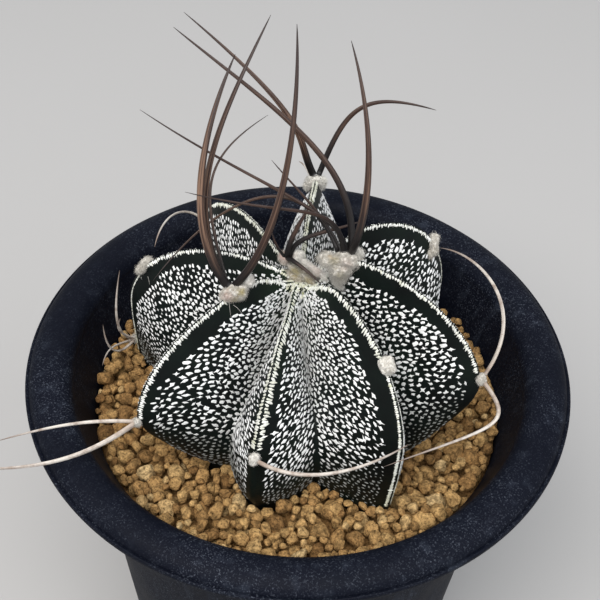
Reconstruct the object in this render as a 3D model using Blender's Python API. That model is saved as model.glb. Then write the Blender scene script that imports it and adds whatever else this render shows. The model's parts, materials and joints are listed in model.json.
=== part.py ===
"""A star cactus with eight sharp ribs and long curved spines, in a round pot filled with gravel.

World frame: +Z up, origin at the middle of the pot's underside, the front rib towards -Y.
Lengths below are millimetres and angles are degrees. Each mesh is scaled to metres when it is made
into an object.
"""
import math
from collections import namedtuple
from random import Random

import bmesh
import bpy
import numpy as np
from mathutils import Matrix, Vector, geometry

MM = 0.001
GAP = 0.35                    # clear space between touching pieces

# The pot
RIM_RADIUS = 52.5
RIM_TOP = 91.0
RIM_CREST_RADIUS = 47.2       # where the rolled rim is highest
LIP = (87.2, 88.45)           # heights of the thin lip's underside and top, at the rim's edge
LIP_BEVEL = 0.3
GROOVE = (51.8, 88.3)         # radius and height of the fine groove between the lip and the roll
RIM_HOLLOW = (2.5, 4.0)       # the hollow under the roll, inwards and outwards of its crest
FLARE = (42.6, 83.5)          # radius and height of the bend where the wall turns out to the rim
BODY_TOP_RADIUS = 41.4
BODY_TOP = 79.0
BASE_RADIUS = 32.6
BASE_ROUND = 0.7              # height of the chamfer at the wall's foot
INSIDE_TOP_RADIUS = 40.0      # inside of the wall at the gravel's surface
INSIDE_FLOOR_RADIUS = 31.0
FLOOR_CHAMFER = 1.5
FLOOR_TOP = 4.0
RECESS = 2.0                  # the underside is hollowed by this much round the hub
HUB_RADIUS = 10.0
FOOT_RING = (28.6, 32.0)      # inner and outer radius of the ring that the pot stands on
DRAIN_HOLES = 6
DRAIN_RADIUS = 3.2
DRAIN_CIRCLE = 19.0
POT_SIDES = 44

# The gravel
SOIL = 80.0                   # height of the gravel's surface
GRAIN_PITCH = 5.8
GRAIN_RISE = (0.4, 1.7)        # height of the grains' tops above that surface
GRAIN_STRAY = 0.24            # how far a grain strays from its lattice place, in pitches
GRAIN_SINK = (0.2, 0.7)       # depth of the gaps between grains
GRAIN_TOP = (0.55, 0.7)       # size of a grain's flat top against its cell
GRAIN_TILT = 0.14
GRAIN_SEED = 11

# The stem. Its axis leans from the base point to the crown point as it rises.
STEM_BASE = np.array([1.0, 0.4])
CROWN_POINT = np.array([-0.5, 0.2])
CROWN_HEIGHT = 114.0
CROWN_RADIUS = 3.6            # where the ribs begin
RIB_TOP_RADIUS = 12.0         # where each rib is highest
LEAN_RADIUS = 25.0            # the lean has faded out this far from the axis
FLANK_BULGE = 1.2
BULGE_LENGTH = 14.0           # a flank shorter than this bulges less
BULGE_SHARE = 0.13            # and it bulges by no more than this share of its rib's half spacing
CREST_HALF_WIDTH = 0.9
CREST_TAPER = 0.12            # half width of a crest for each millimetre from the crown
TOOTH = 0.35                  # how far every second scale of a crest stands out
TOOTH_LENGTH = 8.0            # a flank shorter than this has smaller scales
FLECK = 0.55                  # how far a fleck stands out
FLECK_SLOPE = 0.22            # and at most this share of its own breadth
FLANK_COLUMNS = 5
ROWS = (3, 10, 5)             # rows from crown to rib top, to the widest line, to the gravel
TIP_DROP = 0.7                # how far the crown's middle and the root's tip are below their edges
ROOT = ((75.0, 0.98), (70.0, 0.5), (52.0, 0.16))   # height and share of the outline at the surface
ROOT_ROUND_SHARE = 0.9        # a ring of the root smaller than this is round
ROOT_GAP = 0.45               # clear space between the stem's root and the gravel

# Each rib: direction, height of its top, reach, height of its widest line, radius at the gravel
Rib = namedtuple("Rib", "azimuth top reach waist foot")
RIBS = {
    "front": Rib(-106, 112.0, 31.0, 86.5, 28.5),
    "front_right": Rib(-58, 120.0, 33.5, 99.0, 31.5),
    "right": Rib(-30, 123.8, 35.8, 105.5, 22.0),
    "back_right": Rib(27, 121.5, 28.8, 101.0, 26.5),
    "back": Rib(89, 118.8, 34.0, 97.0, 28.0),
    "back_left": Rib(125, 113.0, 37.3, 96.5, 31.0),
    "left": Rib(164, 115.0, 36.0, 94.5, 35.0),
    "front_left": Rib(218, 118.8, 37.3, 99.0, 25.3),
}
# The furrow between two ribs, as radius and height, from the crown down to the gravel
FURROW = ((3.0, 111.5), (6.2, 103.5), (14.0, 97.0), (20.5, 92.5), (22.8, 86.0), (21.5, SOIL))
FURROW_NARROWING = 0.004      # a furrow is this much deeper for each degree over an even spacing

# Wool tufts: rib, place along its crest (1 is the rib's top, 2 its widest line), size across,
# along and out, and how far the middle stands off the crest
Tuft = namedtuple("Tuft", "rib place across along out lift")
WOOL = {
    "front_left": Tuft("front_left", 1.08, 2.5, 2.8, 2.2, 0.4),
    "right": Tuft("right", 0.72, 2.7, 3.3, 2.5, 0.3),
    "back": Tuft("back", 1.46, 2.0, 2.2, 1.9, 0.5),
    "front_right": Tuft("front_right", 1.45, 1.4, 1.9, 1.4, 0.5),
    "back_right": Tuft("back_right", 1.60, 1.4, 1.9, 1.3, 0.2),
    "left": Tuft("left", 1.64, 1.4, 2.0, 1.3, 0.2),
}
CROWN_WOOL_AT = (-1.6, 0.6, 114.6)
CROWN_WOOL_SIZE = (3.4, 2.9, 2.2)   # along the front-right rib, across it and up
WOOL_DENT = 0.14

# Spines: each is the points that its curve bends by, the last one its tip, and its root radius
BROWN = {
    "front_left": ((-12.6, -9.0, 119.8), (
        ((-20.0, -8.0, 130.0), (-19.5, -1.0, 143.5), (-13.0, 9.0, 156.0), 0.80),
        ((-21.5, -2.5, 133.5), (-16.0, 2.5, 145.0), (-7.5, 15.5, 159.5), 0.65),
        ((-18.5, 2.5, 130.5), (-19.5, 6.0, 135.0), (-7.5, 12.0, 141.0), 0.32),
        ((-5.0, -10.5, 131.0), (-1.5, -4.0, 147.5), (-3.0, 7.0, 164.0), 0.65))),
    "back": ((1.4, 26.8, 114.8), (
        ((-3.0, 28.0, 123.0), (1.5, 26.0, 127.5), (-24.5, 39.0, 142.5), 0.72),
        ((6.5, 33.0, 126.5), (9.0, 33.5, 131.0), (23.5, 30.5, 129.0), 0.50))),
    "right": ((7.6, -4.0, 124.2), (
        ((9.0, 5.0, 137.0), (-4.5, 8.0, 144.0), (-24.0, 17.0, 155.0), 0.58),
        ((9.0, -7.5, 130.5), (13.0, -1.5, 142.0), (6.0, 11.5, 158.0), 0.68),
        ((6.5, 0.5, 130.0), (-9.0, 2.0, 133.0), (-29.5, 10.0, 142.5), 0.40),
        ((5.0, -1.5, 135.0), (-1.0, -7.5, 134.5), (-20.5, -5.5, 138.0), 0.48),
        ((0.5, 7.5, 132.0), (-13.0, 8.0, 130.5), (-26.5, -6.5, 117.5), 0.36),
        ((3.5, 0.5, 128.5), (-2.0, 3.0, 132.0), (-6.5, 6.5, 135.5), 0.32))),
    "crown": ((-2.8, 2.0, 116.0), (
        ((-3.5, 2.5, 118.5), (-2.0, 3.5, 121.5), (1.0, 6.5, 126.5), 0.45),
        ((-2.5, 4.0, 120.5), (3.5, 3.0, 121.5), (10.0, 4.0, 124.5), 0.45),
        ((-4.5, 2.5, 117.5), (-5.5, 3.0, 118.5), (-6.0, 4.0, 120.5), 0.32),
        ((-2.0, 0.5, 118.5), (0.0, -2.0, 119.5), (3.0, -4.5, 120.0), 0.60))),
}
# Old spines at the lower areoles, each bunch with the small pad that it grows from
OLD = {
    "front": ("front", 1.76, 1.35, (
        ((1.5, -33.0, 93.5), (13.0, -31.0, 98.0), (19.5, -29.0, 103.0), 0.48),)),
    "right": ("right", 1.92, 1.25, (
        ((39.5, -22.0, 100.5), (35.5, -22.5, 101.5), (15.5, -31.2, 99.2), 0.42),
        ((42.5, -1.0, 107.8), (34.5, 15.8, 106.4), (26.5, 19.4, 103.8), 0.38))),
    "front_left": ("front_left", 2.06, 1.0, (
        ((-36.0, -28.0, 95.0), (-43.0, -31.5, 93.5), (-59.5, -32.0, 94.0), 0.52),
        ((-36.5, -23.5, 99.0), (-42.5, -25.0, 99.0), (-53.0, -28.0, 97.0), 0.42))),
    "left": ("left", 2.76, 0.95, (
        ((-36.0, 6.5, 87.5), (-36.5, 4.0, 95.0), (-35.0, 9.0, 104.0), 0.32),
        ((-37.0, 10.0, 85.0), (-36.5, 9.0, 88.5), (-35.5, 8.5, 91.0), 0.30),
        ((-35.5, 5.0, 83.5), (-37.5, 1.0, 88.0), (-38.0, 3.0, 95.0), 0.32),
        ((-36.5, 7.0, 84.5), (-37.5, 3.5, 89.0), (-37.5, -4.0, 91.0), 0.30))),
    "back_left": ("back_left", 1.98, 1.1, (
        ((-25.7, 33.8, 99.7), (-28.2, 21.2, 107.2), (-28.8, 14.2, 105.5), 0.32),)),
    "back": ("back", 2.05, 1.1, (
        ((0.5, 39.0, 99.0), (3.0, 43.0, 96.0), (5.0, 44.0, 90.0), 0.36),
        ((2.0, 38.0, 101.0), (0.0, 42.0, 104.0), (-2.0, 44.0, 103.0), 0.32))),
}
SPINE_SIDES = 5
SPINE_RINGS = 9
SPINE_TAPER = 0.65            # share of a spine's thickness that is gone just before its tip
SPINE_TAPER_POWER = 1.6
CORE_RADIUS = 1.15            # the knot in the wool that a bunch's spines share
PAD_LIFT = 0.3                # how far an old bunch's pad stands off the crest
PAD_SHAPE = (1.0, 1.15, 0.9)  # its size across, along and out, as shares of its own size
SPINE_EDGE = 60               # edges sharper than this many degrees stay sharp

# Colours
POT_BLACK = (0.012, 0.014, 0.018)
GRAVEL_TAN = (0.42, 0.25, 0.10)
SKIN_GREEN = (0.012, 0.030, 0.018)
FLECK_WHITE = (0.72, 0.73, 0.66)
WOOL_CREAM = (0.74, 0.68, 0.56)
SPINE_BROWN = (0.075, 0.040, 0.030)
SPINE_GREY = (0.50, 0.46, 0.40)


def material(name, colour, roughness):
    mat = bpy.data.materials.new(name)
    mat.use_nodes = True
    shader = mat.node_tree.nodes["Principled BSDF"]
    shader.inputs["Base Color"].default_value = (*colour, 1.0)
    shader.inputs["Roughness"].default_value = roughness
    shader.inputs["Metallic"].default_value = 0.0
    return mat


def add_object(name, bm, mat=None, smooth_angle=None):
    """Make an object of a bmesh given in millimetres. With no material it is a cutter."""
    bmesh.ops.scale(bm, vec=(MM, MM, MM), verts=bm.verts)
    mesh = bpy.data.meshes.new(name)
    bm.to_mesh(mesh)
    bm.free()
    obj = bpy.data.objects.new(name, mesh)
    bpy.context.scene.collection.objects.link(obj)
    if mat:
        mesh.materials.append(mat)
    else:
        obj.hide_render = True
        obj.display_type = "WIRE"
    if smooth_angle:
        mesh.shade_smooth()
        mesh.set_sharp_from_angle(angle=math.radians(smooth_angle))
    return obj


def boolean(obj, operation, other=None, collection=None):
    mod = obj.modifiers.new(operation.lower(), "BOOLEAN")
    mod.operation = operation
    if collection:
        mod.operand_type = "COLLECTION"
        mod.collection = collection
    else:
        mod.object = other
    return mod


def turned(outline, steps):
    """A turned body from (radius, height) points that start and end on the axis."""
    bm = bmesh.new()
    points = [bm.verts.new((r, 0.0, z)) for r, z in outline]
    edges = [bm.edges.new(pair) for pair in zip(points, points[1:])]
    bmesh.ops.spin(bm, geom=points + edges, axis=(0, 0, 1), cent=(0, 0, 0),
                   steps=steps, angle=math.tau, use_merge=True)
    bmesh.ops.remove_doubles(bm, verts=bm.verts, dist=0.001)
    bmesh.ops.recalc_face_normals(bm, faces=bm.faces)
    return bm


def arc(centre, across, high, start, end, count):
    """Points of an ellipse's arc round (radius, height), from one angle to another."""
    for i in range(count + 1):
        a = math.radians(start + (end - start) * i / count)
        yield centre[0] + across * math.cos(a), centre[1] + high * math.sin(a)


def build_pot(mat):
    under, over = LIP
    inner, outer = RIM_HOLLOW
    crest = (RIM_CREST_RADIUS, under)
    roll = RIM_TOP - under
    outline = [
        (0, 0), (HUB_RADIUS, 0), (HUB_RADIUS + 0.5, RECESS), (FOOT_RING[0] - 0.5, RECESS),
        (FOOT_RING[0], 0), (FOOT_RING[1], 0), (BASE_RADIUS, BASE_ROUND), (BODY_TOP_RADIUS, BODY_TOP),
        FLARE, *arc(crest, inner, inner, 180, 90, 2), *list(arc(crest, outer, inner, 90, 0, 2))[1:],
        (RIM_RADIUS - LIP_BEVEL, under), (RIM_RADIUS, under + LIP_BEVEL),
        (RIM_RADIUS, over - LIP_BEVEL), (RIM_RADIUS - LIP_BEVEL, over),
        *arc((RIM_CREST_RADIUS, GROOVE[1]), GROOVE[0] - RIM_CREST_RADIUS, RIM_TOP - GROOVE[1], 0, 90, 4),
        *list(arc(crest, roll, roll, 90, 180, 3))[1:],
        (INSIDE_TOP_RADIUS, SOIL), (INSIDE_FLOOR_RADIUS, FLOOR_TOP + FLOOR_CHAMFER),
        (INSIDE_FLOOR_RADIUS - FLOOR_CHAMFER, FLOOR_TOP), (0, FLOOR_TOP),
    ]
    pot = add_object("pot", turned(outline, POT_SIDES), mat, smooth_angle=40)
    drills = bmesh.new()
    for i in range(DRAIN_HOLES):
        a = math.tau * i / DRAIN_HOLES
        place = (DRAIN_CIRCLE * math.cos(a), DRAIN_CIRCLE * math.sin(a), FLOOR_TOP / 2)
        bmesh.ops.create_cone(drills, cap_ends=True, segments=10, radius1=DRAIN_RADIUS,
                              radius2=DRAIN_RADIUS, depth=3 * FLOOR_TOP,
                              matrix=Matrix.Translation(place))
    boolean(pot, "DIFFERENCE", add_object("drain_drills", drills))


def ease(x):
    x = np.clip(x, 0.0, 1.0)
    return x * x * (3 - 2 * x)


def axis_point(radius):
    """Where the stem's leaning axis stands, for a point of the skin this far from it."""
    return CROWN_POINT + (STEM_BASE - CROWN_POINT) * ease(radius / LEAN_RADIUS)


def outward(azimuth):
    a = math.radians(azimuth)
    return np.array([math.cos(a), math.sin(a)])


def crest_point(rib, place):
    """A point of a rib's edge: 0 is the crown, 1 its top, 2 its widest line, 3 the gravel."""
    if place <= 1:
        radius = CROWN_RADIUS + (RIB_TOP_RADIUS - CROWN_RADIUS) * place
        height = CROWN_HEIGHT + (rib.top - CROWN_HEIGHT) * math.sin(place * math.pi / 2)
    elif place <= 2:
        turn = (place - 1) * math.pi / 2
        radius = RIB_TOP_RADIUS + (rib.reach - RIB_TOP_RADIUS) * math.sin(turn)
        height = rib.waist + (rib.top - rib.waist) * math.cos(turn)
    else:
        drop = place - 2
        radius = rib.foot + (rib.reach - rib.foot) * (1 - drop ** 1.5)
        height = rib.waist + (SOIL - rib.waist) * drop
    flat = axis_point(radius) + radius * outward(rib.azimuth)
    return np.array([*flat, height])


def furrow_point(left, right, place):
    """A point of the furrow between two neighbouring ribs, at the same places as their edges."""
    gap = (right.azimuth - left.azimuth) % 360
    spot = place / 3 * (len(FURROW) - 1)
    i = min(int(spot), len(FURROW) - 2)
    part = spot - i
    near = [np.array(FURROW[min(max(k, 0), len(FURROW) - 1)]) for k in (i - 1, i, i + 1, i + 2)]
    bend = 0.5 * ((near[2] - near[0]) * part
                  + (2 * near[0] - 5 * near[1] + 4 * near[2] - near[3]) * part ** 2
                  + (3 * near[1] - near[0] - 3 * near[2] + near[3]) * part ** 3)
    radius, height = near[1] + bend
    even = 360 / len(RIBS)
    radius *= 1 - FURROW_NARROWING * (gap - even) * ease(radius / RIB_TOP_RADIUS)
    flat = axis_point(radius) + radius * outward(left.azimuth + gap / 2)
    return np.array([*flat, height])


def stem_places():
    places = [0.0]
    for stage, rows in enumerate(ROWS):
        places += [stage + (i + 1) / rows for i in range(rows)]
    return places


def half_flank(crest, furrow, side, toothed):
    """Columns of points from a crest's scale row to its furrow, row by row: (row, column, xyz)."""
    chord = furrow - crest
    length = np.linalg.norm(chord, axis=1, keepdims=True)
    down = np.gradient((crest + furrow) / 2, axis=0)
    normal = np.cross(down, chord) * side
    normal /= np.linalg.norm(normal, axis=1, keepdims=True)
    from_crown = np.hypot(*(crest[:, :2] - CROWN_POINT).T)[:, None]
    ahead = furrow[:, :2] - CROWN_POINT
    spacing = np.abs(np.cross(crest[:, :2] - CROWN_POINT, ahead))[:, None]
    spacing /= np.linalg.norm(ahead, axis=1, keepdims=True)
    full = np.minimum(FLANK_BULGE * np.minimum(1, length / BULGE_LENGTH), BULGE_SHARE * spacing)
    edge = np.minimum(CREST_HALF_WIDTH, CREST_TAPER * from_crown) / length
    columns = []
    for j in range(FLANK_COLUMNS + 1):
        share = edge + (1 - edge) * j / FLANK_COLUMNS
        columns.append(crest + chord * share + normal * full * 4 * share * (1 - share))
    if toothed:
        row = np.arange(len(crest))[:, None]
        odd = (row % 2 == 1) & (row < len(crest) - 2)
        columns[0] = columns[0] + normal * TOOTH * odd * ease(length / TOOTH_LENGTH)
    return np.stack(columns, axis=1)


def stem_rings(grow=0.0):
    """Rings of the stem from crown to root tip, each a list of points, grown sideways if asked."""
    places = stem_places()
    ribs = list(RIBS.values())
    blocks = []
    for i, rib in enumerate(ribs):
        before, after = ribs[i - 1], ribs[(i + 1) % len(ribs)]
        crest = np.array([crest_point(rib, p) for p in places])
        back = np.array([furrow_point(before, rib, p) for p in places])
        ahead = np.array([furrow_point(rib, after, p) for p in places])
        left = half_flank(crest, back, -1, grow == 0)
        right = half_flank(crest, ahead, 1, grow == 0)
        blocks.append(np.concatenate([left[:, :0:-1], left[:, :1], crest[:, None], right[:, :-1]], axis=1))
    rings = np.concatenate(blocks, axis=1)
    surface = rings[-1]
    centre = np.array([*STEM_BASE, 0.0])
    for height, share in ROOT:
        ring = centre + (surface - centre) * share
        ring[:, 2] = height
        if share < ROOT_ROUND_SHARE:
            radius = np.hypot(*(ring - centre)[:, :2].T)[:, None]
            ring[:, :2] = STEM_BASE + (ring[:, :2] - STEM_BASE) * radius.mean() / radius
        rings = np.concatenate([rings, ring[None]])
    if grow:
        away = rings[:, :, :2] - STEM_BASE
        rings[:, :, :2] += away / np.linalg.norm(away, axis=2, keepdims=True) * grow
        rings[-len(ROOT):, :, 2] -= grow
    return rings


def skin_mesh(rings):
    """Close the rings into one body. Returns the bmesh and its faces by (row, column)."""
    bm = bmesh.new()
    grid = [[bm.verts.new(p) for p in ring] for ring in rings]
    count = len(grid[0])
    faces = {}
    for i, (upper, lower) in enumerate(zip(grid, grid[1:])):
        for j in range(count):
            k = (j + 1) % count
            faces[i, j] = bm.faces.new((upper[j], lower[j], lower[k], upper[k]))
    for ring in (grid[0], grid[-1]):
        middle = sum((v.co for v in ring), Vector()) / count
        tip = bm.verts.new(middle - Vector((0, 0, TIP_DROP)))
        for j in range(count):
            bm.faces.new((ring[j], ring[(j + 1) % count], tip))
    bmesh.ops.recalc_face_normals(bm, faces=bm.faces)
    return bm, faces


def build_stem(skin, white):
    rings = stem_rings()
    bm, faces = skin_mesh(rings)
    block = 2 * FLANK_COLUMNS + 2
    last_row = sum(ROWS) - 2
    raised = []
    for (i, j), face in faces.items():
        from_furrow = min(j % block, block - 1 - j % block)
        if 0 < from_furrow < FLANK_COLUMNS - 1 and 1 < i < last_row and (i + from_furrow) % 2 == 0:
            raised.append(face)
    for face in raised:
        height = min(FLECK, FLECK_SLOPE * math.sqrt(face.calc_area()))
        middle, normal = face.calc_center_median(), face.normal.copy()
        made = bmesh.ops.poke(bm, faces=[face], center_mode="MEAN")
        for vert in made["verts"]:
            vert.co = middle + normal * height
        for part in made["faces"]:
            part.material_index = 1
    stem = add_object("stem", bm, skin)
    stem.data.materials.append(white)
    return stem


def crest_frame(rib, place):
    """The point of a crest, and the directions across it, along it and out of it."""
    here = Vector(crest_point(rib, place))
    along = (Vector(crest_point(rib, place + 0.03)) - Vector(crest_point(rib, place - 0.03))).normalized()
    across = Vector((*outward(rib.azimuth + 90), 0.0))
    out = across.cross(along).normalized()
    if out.z + out.xy.dot(Vector(outward(rib.azimuth))) < 0:
        across, out = -across, -out
    return here, across, along, out


def ellipsoid(bm, centre, axes, sizes, dent=0.0, seed=0, detail=2):
    """A round lump with its three half sizes along the axes, dented inwards by a seeded draw."""
    made = bmesh.ops.create_icosphere(bm, subdivisions=detail, radius=1.0)["verts"]
    draw = Random(seed)
    for vert in made:
        share = 1.0 - dent * draw.random()
        p = sum((axis * vert.co[k] * sizes[k] for k, axis in enumerate(axes)), Vector())
        vert.co = centre + p * share


def tuft_frames():
    """Each tuft's middle, axes and half sizes, with the crown's as the last one."""
    frames = {}
    for name, tuft in WOOL.items():
        here, across, along, out = crest_frame(RIBS[tuft.rib], tuft.place)
        frames[name] = (here + out * tuft.lift, (across, along, out), (tuft.across, tuft.along, tuft.out))
    towards = Vector((*outward(RIBS["front_right"].azimuth + 5), 0.0))
    aside = Vector((-towards.y, towards.x, 0.0))
    frames["crown"] = (Vector(CROWN_WOOL_AT), (towards, aside, Vector((0, 0, 1))), CROWN_WOOL_SIZE)
    return frames


def curve_points(root, first, second, tip, count):
    """Points of the smooth curve that leaves root towards first and reaches tip past second."""
    for i in range(count + 1):
        t = i / count
        yield (root * (1 - t) ** 3 + first * 3 * t * (1 - t) ** 2
               + second * 3 * t * t * (1 - t) + tip * t ** 3)


def spine_mesh(bm, root, spine, grow):
    """One spine as a tapering five-sided tube that ends in a point."""
    *bends, tip, radius = spine
    first, second = (Vector(b) for b in bends)
    path = list(curve_points(root, first, second, Vector(tip), SPINE_RINGS))
    side = (path[1] - path[0]).orthogonal().normalized()
    rings = []
    for i, here in enumerate(path[:-1]):
        ahead = (path[i + 1] - path[max(i - 1, 0)]).normalized()
        side = (side - ahead * side.dot(ahead)).normalized()
        other = ahead.cross(side)
        size = radius * (1 - SPINE_TAPER * (i / SPINE_RINGS) ** SPINE_TAPER_POWER) + grow
        ring = []
        for k in range(SPINE_SIDES):
            a = math.tau * k / SPINE_SIDES
            ring.append(bm.verts.new(here + (side * math.cos(a) + other * math.sin(a)) * size))
        rings.append(ring)
    reach = (path[-1] - path[-2]).normalized() * grow
    point = bm.verts.new(path[-1] + reach)
    bm.faces.new(rings[0][::-1])
    for lower, upper in zip(rings, rings[1:]):
        for k in range(SPINE_SIDES):
            m = (k + 1) % SPINE_SIDES
            bm.faces.new((lower[k], lower[m], upper[m], upper[k]))
    for k in range(SPINE_SIDES):
        bm.faces.new((rings[-1][k], rings[-1][(k + 1) % SPINE_SIDES], point))


def bunch(name, core, spines, mat=None, grow=0.0):
    """Spines joined with the knot that they grow from: core is (middle, axes, half sizes)."""
    middle, axes, sizes = core
    bm = bmesh.new()
    ellipsoid(bm, middle, axes, [s + grow for s in sizes], detail=1 if grow == 0 else 2)
    knot = add_object(name, bm, mat)
    loose = bpy.data.collections.new(name + "_loose")
    bpy.context.scene.collection.children.link(loose)
    for i, spine in enumerate(spines):
        bm = bmesh.new()
        spine_mesh(bm, middle, spine, grow)
        part = add_object(f"{name}_loose_{i}", bm)
        bpy.context.scene.collection.objects.unlink(part)
        loose.objects.link(part)
    boolean(knot, "UNION", collection=loose)
    joined = bpy.data.meshes.new_from_object(knot.evaluated_get(bpy.context.evaluated_depsgraph_get()))
    knot.modifiers.clear()
    knot.data = joined
    for part in list(loose.objects):
        bpy.data.objects.remove(part)
    bpy.data.collections.remove(loose)
    joined.shade_smooth()
    joined.set_sharp_from_angle(angle=math.radians(SPINE_EDGE))
    return knot


def old_core(name):
    rib_name, place, size, spines = OLD[name]
    here, across, along, out = crest_frame(RIBS[rib_name], place)
    return (here + out * PAD_LIFT, (across, along, out), [size * share for share in PAD_SHAPE]), spines


def build_wool_and_spines(wool_mat, brown, grey):
    """All tufts and bunches. Returns the cutter of the sockets that they sit in."""
    upright = (Vector((1, 0, 0)), Vector((0, 1, 0)), Vector((0, 0, 1)))
    sockets = bmesh.new()
    for i, (name, (middle, axes, sizes)) in enumerate(tuft_frames().items()):
        bm = bmesh.new()
        ellipsoid(bm, middle, axes, sizes, WOOL_DENT, seed=i, detail=3 if name in BROWN else 2)
        wool = add_object("wool_" + name, bm, wool_mat)
        ellipsoid(sockets, middle, axes, [s + GAP for s in sizes], detail=3 if name in BROWN else 2)
        if name in BROWN:
            root, spines = BROWN[name]
            core = (Vector(root), upright, (CORE_RADIUS,) * 3)
            bunch("spines_" + name, core, spines, brown)
            boolean(wool, "DIFFERENCE", bunch(f"clear_{name}", core, spines, grow=GAP))
    for name in OLD:
        core, spines = old_core(name)
        bunch("old_spines_" + name, core, spines, grey)
        middle, axes, sizes = core
        ellipsoid(sockets, middle, axes, [s + GAP for s in sizes], detail=2)
    return add_object("tuft_sockets", sockets)


def grain_bed(reach):
    """A slab whose top is packed with angular grains: the cells round a seeded, jittered lattice."""
    draw = Random(GRAIN_SEED)
    row_pitch = GRAIN_PITCH * math.cos(math.pi / 6)
    rows = int(reach / row_pitch) + 1
    spots = []
    for i in range(-rows, rows + 1):
        for j in range(-rows, rows + 1):
            x = (j + 0.5 * (i % 2) + draw.uniform(-GRAIN_STRAY, GRAIN_STRAY)) * GRAIN_PITCH
            y = i * row_pitch + draw.uniform(-GRAIN_STRAY, GRAIN_STRAY) * GRAIN_PITCH
            if math.hypot(x, y) < reach:
                spots.append(Vector((x, y)))
    points, _, triangles, *_ = geometry.delaunay_2d_cdt(spots, [], [], 0, 1e-6)
    corners = [sum((points[k] for k in tri), Vector((0, 0))) / 3 for tri in triangles]
    around = [[] for _ in points]
    for t, tri in enumerate(triangles):
        for k in tri:
            around[k].append(t)
    bm = bmesh.new()
    low = [bm.verts.new((c.x, c.y, SOIL - draw.uniform(*GRAIN_SINK))) for c in corners]
    for k, cell in enumerate(around):
        middle = points[k]
        if middle.length > reach - 1.5 * GRAIN_PITCH:
            continue
        cell.sort(key=lambda t: math.atan2(corners[t].y - middle.y, corners[t].x - middle.x))
        tilt = Vector((draw.uniform(-GRAIN_TILT, GRAIN_TILT), draw.uniform(-GRAIN_TILT, GRAIN_TILT)))
        height = SOIL + draw.uniform(*GRAIN_RISE)
        size = draw.uniform(*GRAIN_TOP)
        top = []
        for t in cell:
            off = (corners[t] - middle) * size
            top.append(bm.verts.new((*(middle + off), height + off.dot(tilt))))
        bm.faces.new(top)
        for a in range(len(cell)):
            b = (a + 1) % len(cell)
            bm.faces.new((low[cell[a]], low[cell[b]], top[b], top[a]))
    bmesh.ops.delete(bm, geom=[v for v in bm.verts if not v.link_faces], context="VERTS")
    edge = [e for e in bm.edges if len(e.link_faces) == 1]
    skirt = bmesh.ops.extrude_edge_only(bm, edges=edge)["geom"]
    rim = [v for v in skirt if isinstance(v, bmesh.types.BMVert)]
    for vert in rim:
        vert.co.z = 0.0
    bottom = [e for e in skirt if isinstance(e, bmesh.types.BMEdge) and len(e.link_faces) == 1]
    bmesh.ops.contextual_create(bm, geom=bottom)
    bmesh.ops.recalc_face_normals(bm, faces=bm.faces)
    return bm


def build_gravel(mat):
    gravel = add_object("gravel", grain_bed(INSIDE_TOP_RADIUS + 3 * GRAIN_PITCH), mat)
    slope = (INSIDE_TOP_RADIUS - INSIDE_FLOOR_RADIUS) / (SOIL - FLOOR_TOP - FLOOR_CHAMFER)
    top = SOIL + 2 * GRAIN_RISE[1]
    inside = [(0, FLOOR_TOP + GAP), (INSIDE_FLOOR_RADIUS - FLOOR_CHAMFER - GAP, FLOOR_TOP + GAP),
              (INSIDE_FLOOR_RADIUS - GAP, FLOOR_TOP + FLOOR_CHAMFER),
              (INSIDE_TOP_RADIUS - GAP, SOIL),
              (INSIDE_TOP_RADIUS - GAP + slope * (top - SOIL), top), (0, top)]
    boolean(gravel, "INTERSECT", add_object("pot_inside", turned(inside, POT_SIDES)))
    hole, _ = skin_mesh(stem_rings(grow=ROOT_GAP))
    boolean(gravel, "DIFFERENCE", add_object("stem_hole", hole))


def main():
    for obj in list(bpy.data.objects):
        bpy.data.objects.remove(obj)
    build_pot(material("pot_plastic", POT_BLACK, 0.45))
    build_gravel(material("gravel", GRAVEL_TAN, 0.95))
    stem = build_stem(material("skin", SKIN_GREEN, 0.6), material("flecks", FLECK_WHITE, 0.9))
    sockets = build_wool_and_spines(material("wool", WOOL_CREAM, 1.0),
                                    material("brown_spines", SPINE_BROWN, 0.45),
                                    material("old_spines", SPINE_GREY, 0.7))
    boolean(stem, "DIFFERENCE", sockets)


main()
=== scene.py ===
"""Looks of the star cactus with eight ribs and long curved spines, in a round pot of gravel.

World frame: metres, +Z up, origin at the middle of the pot's underside, the front rib towards -Y.
Lengths below are millimetres and angles are degrees, unless a name says otherwise. Each mesh is
scaled to metres when it is made into an object.
"""

import json
import math
from collections import namedtuple

import bmesh
import bpy
import numpy as np
from mathutils import Matrix, Vector, noise

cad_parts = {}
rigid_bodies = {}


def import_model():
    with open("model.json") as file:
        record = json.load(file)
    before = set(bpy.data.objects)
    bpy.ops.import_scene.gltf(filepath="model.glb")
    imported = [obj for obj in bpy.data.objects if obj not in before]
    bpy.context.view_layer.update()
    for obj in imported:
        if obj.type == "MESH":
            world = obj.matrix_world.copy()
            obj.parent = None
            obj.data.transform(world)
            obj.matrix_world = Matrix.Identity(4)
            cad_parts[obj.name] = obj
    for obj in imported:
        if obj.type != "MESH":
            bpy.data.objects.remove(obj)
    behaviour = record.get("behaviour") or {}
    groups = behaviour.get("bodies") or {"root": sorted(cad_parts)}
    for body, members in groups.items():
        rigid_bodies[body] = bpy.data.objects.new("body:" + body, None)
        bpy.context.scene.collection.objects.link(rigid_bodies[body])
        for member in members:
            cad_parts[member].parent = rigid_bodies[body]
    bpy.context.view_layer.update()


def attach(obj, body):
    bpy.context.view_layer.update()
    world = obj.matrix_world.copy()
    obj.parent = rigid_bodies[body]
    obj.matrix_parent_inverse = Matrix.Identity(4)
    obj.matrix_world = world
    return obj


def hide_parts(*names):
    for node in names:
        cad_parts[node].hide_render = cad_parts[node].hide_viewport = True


MM = 0.001

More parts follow.
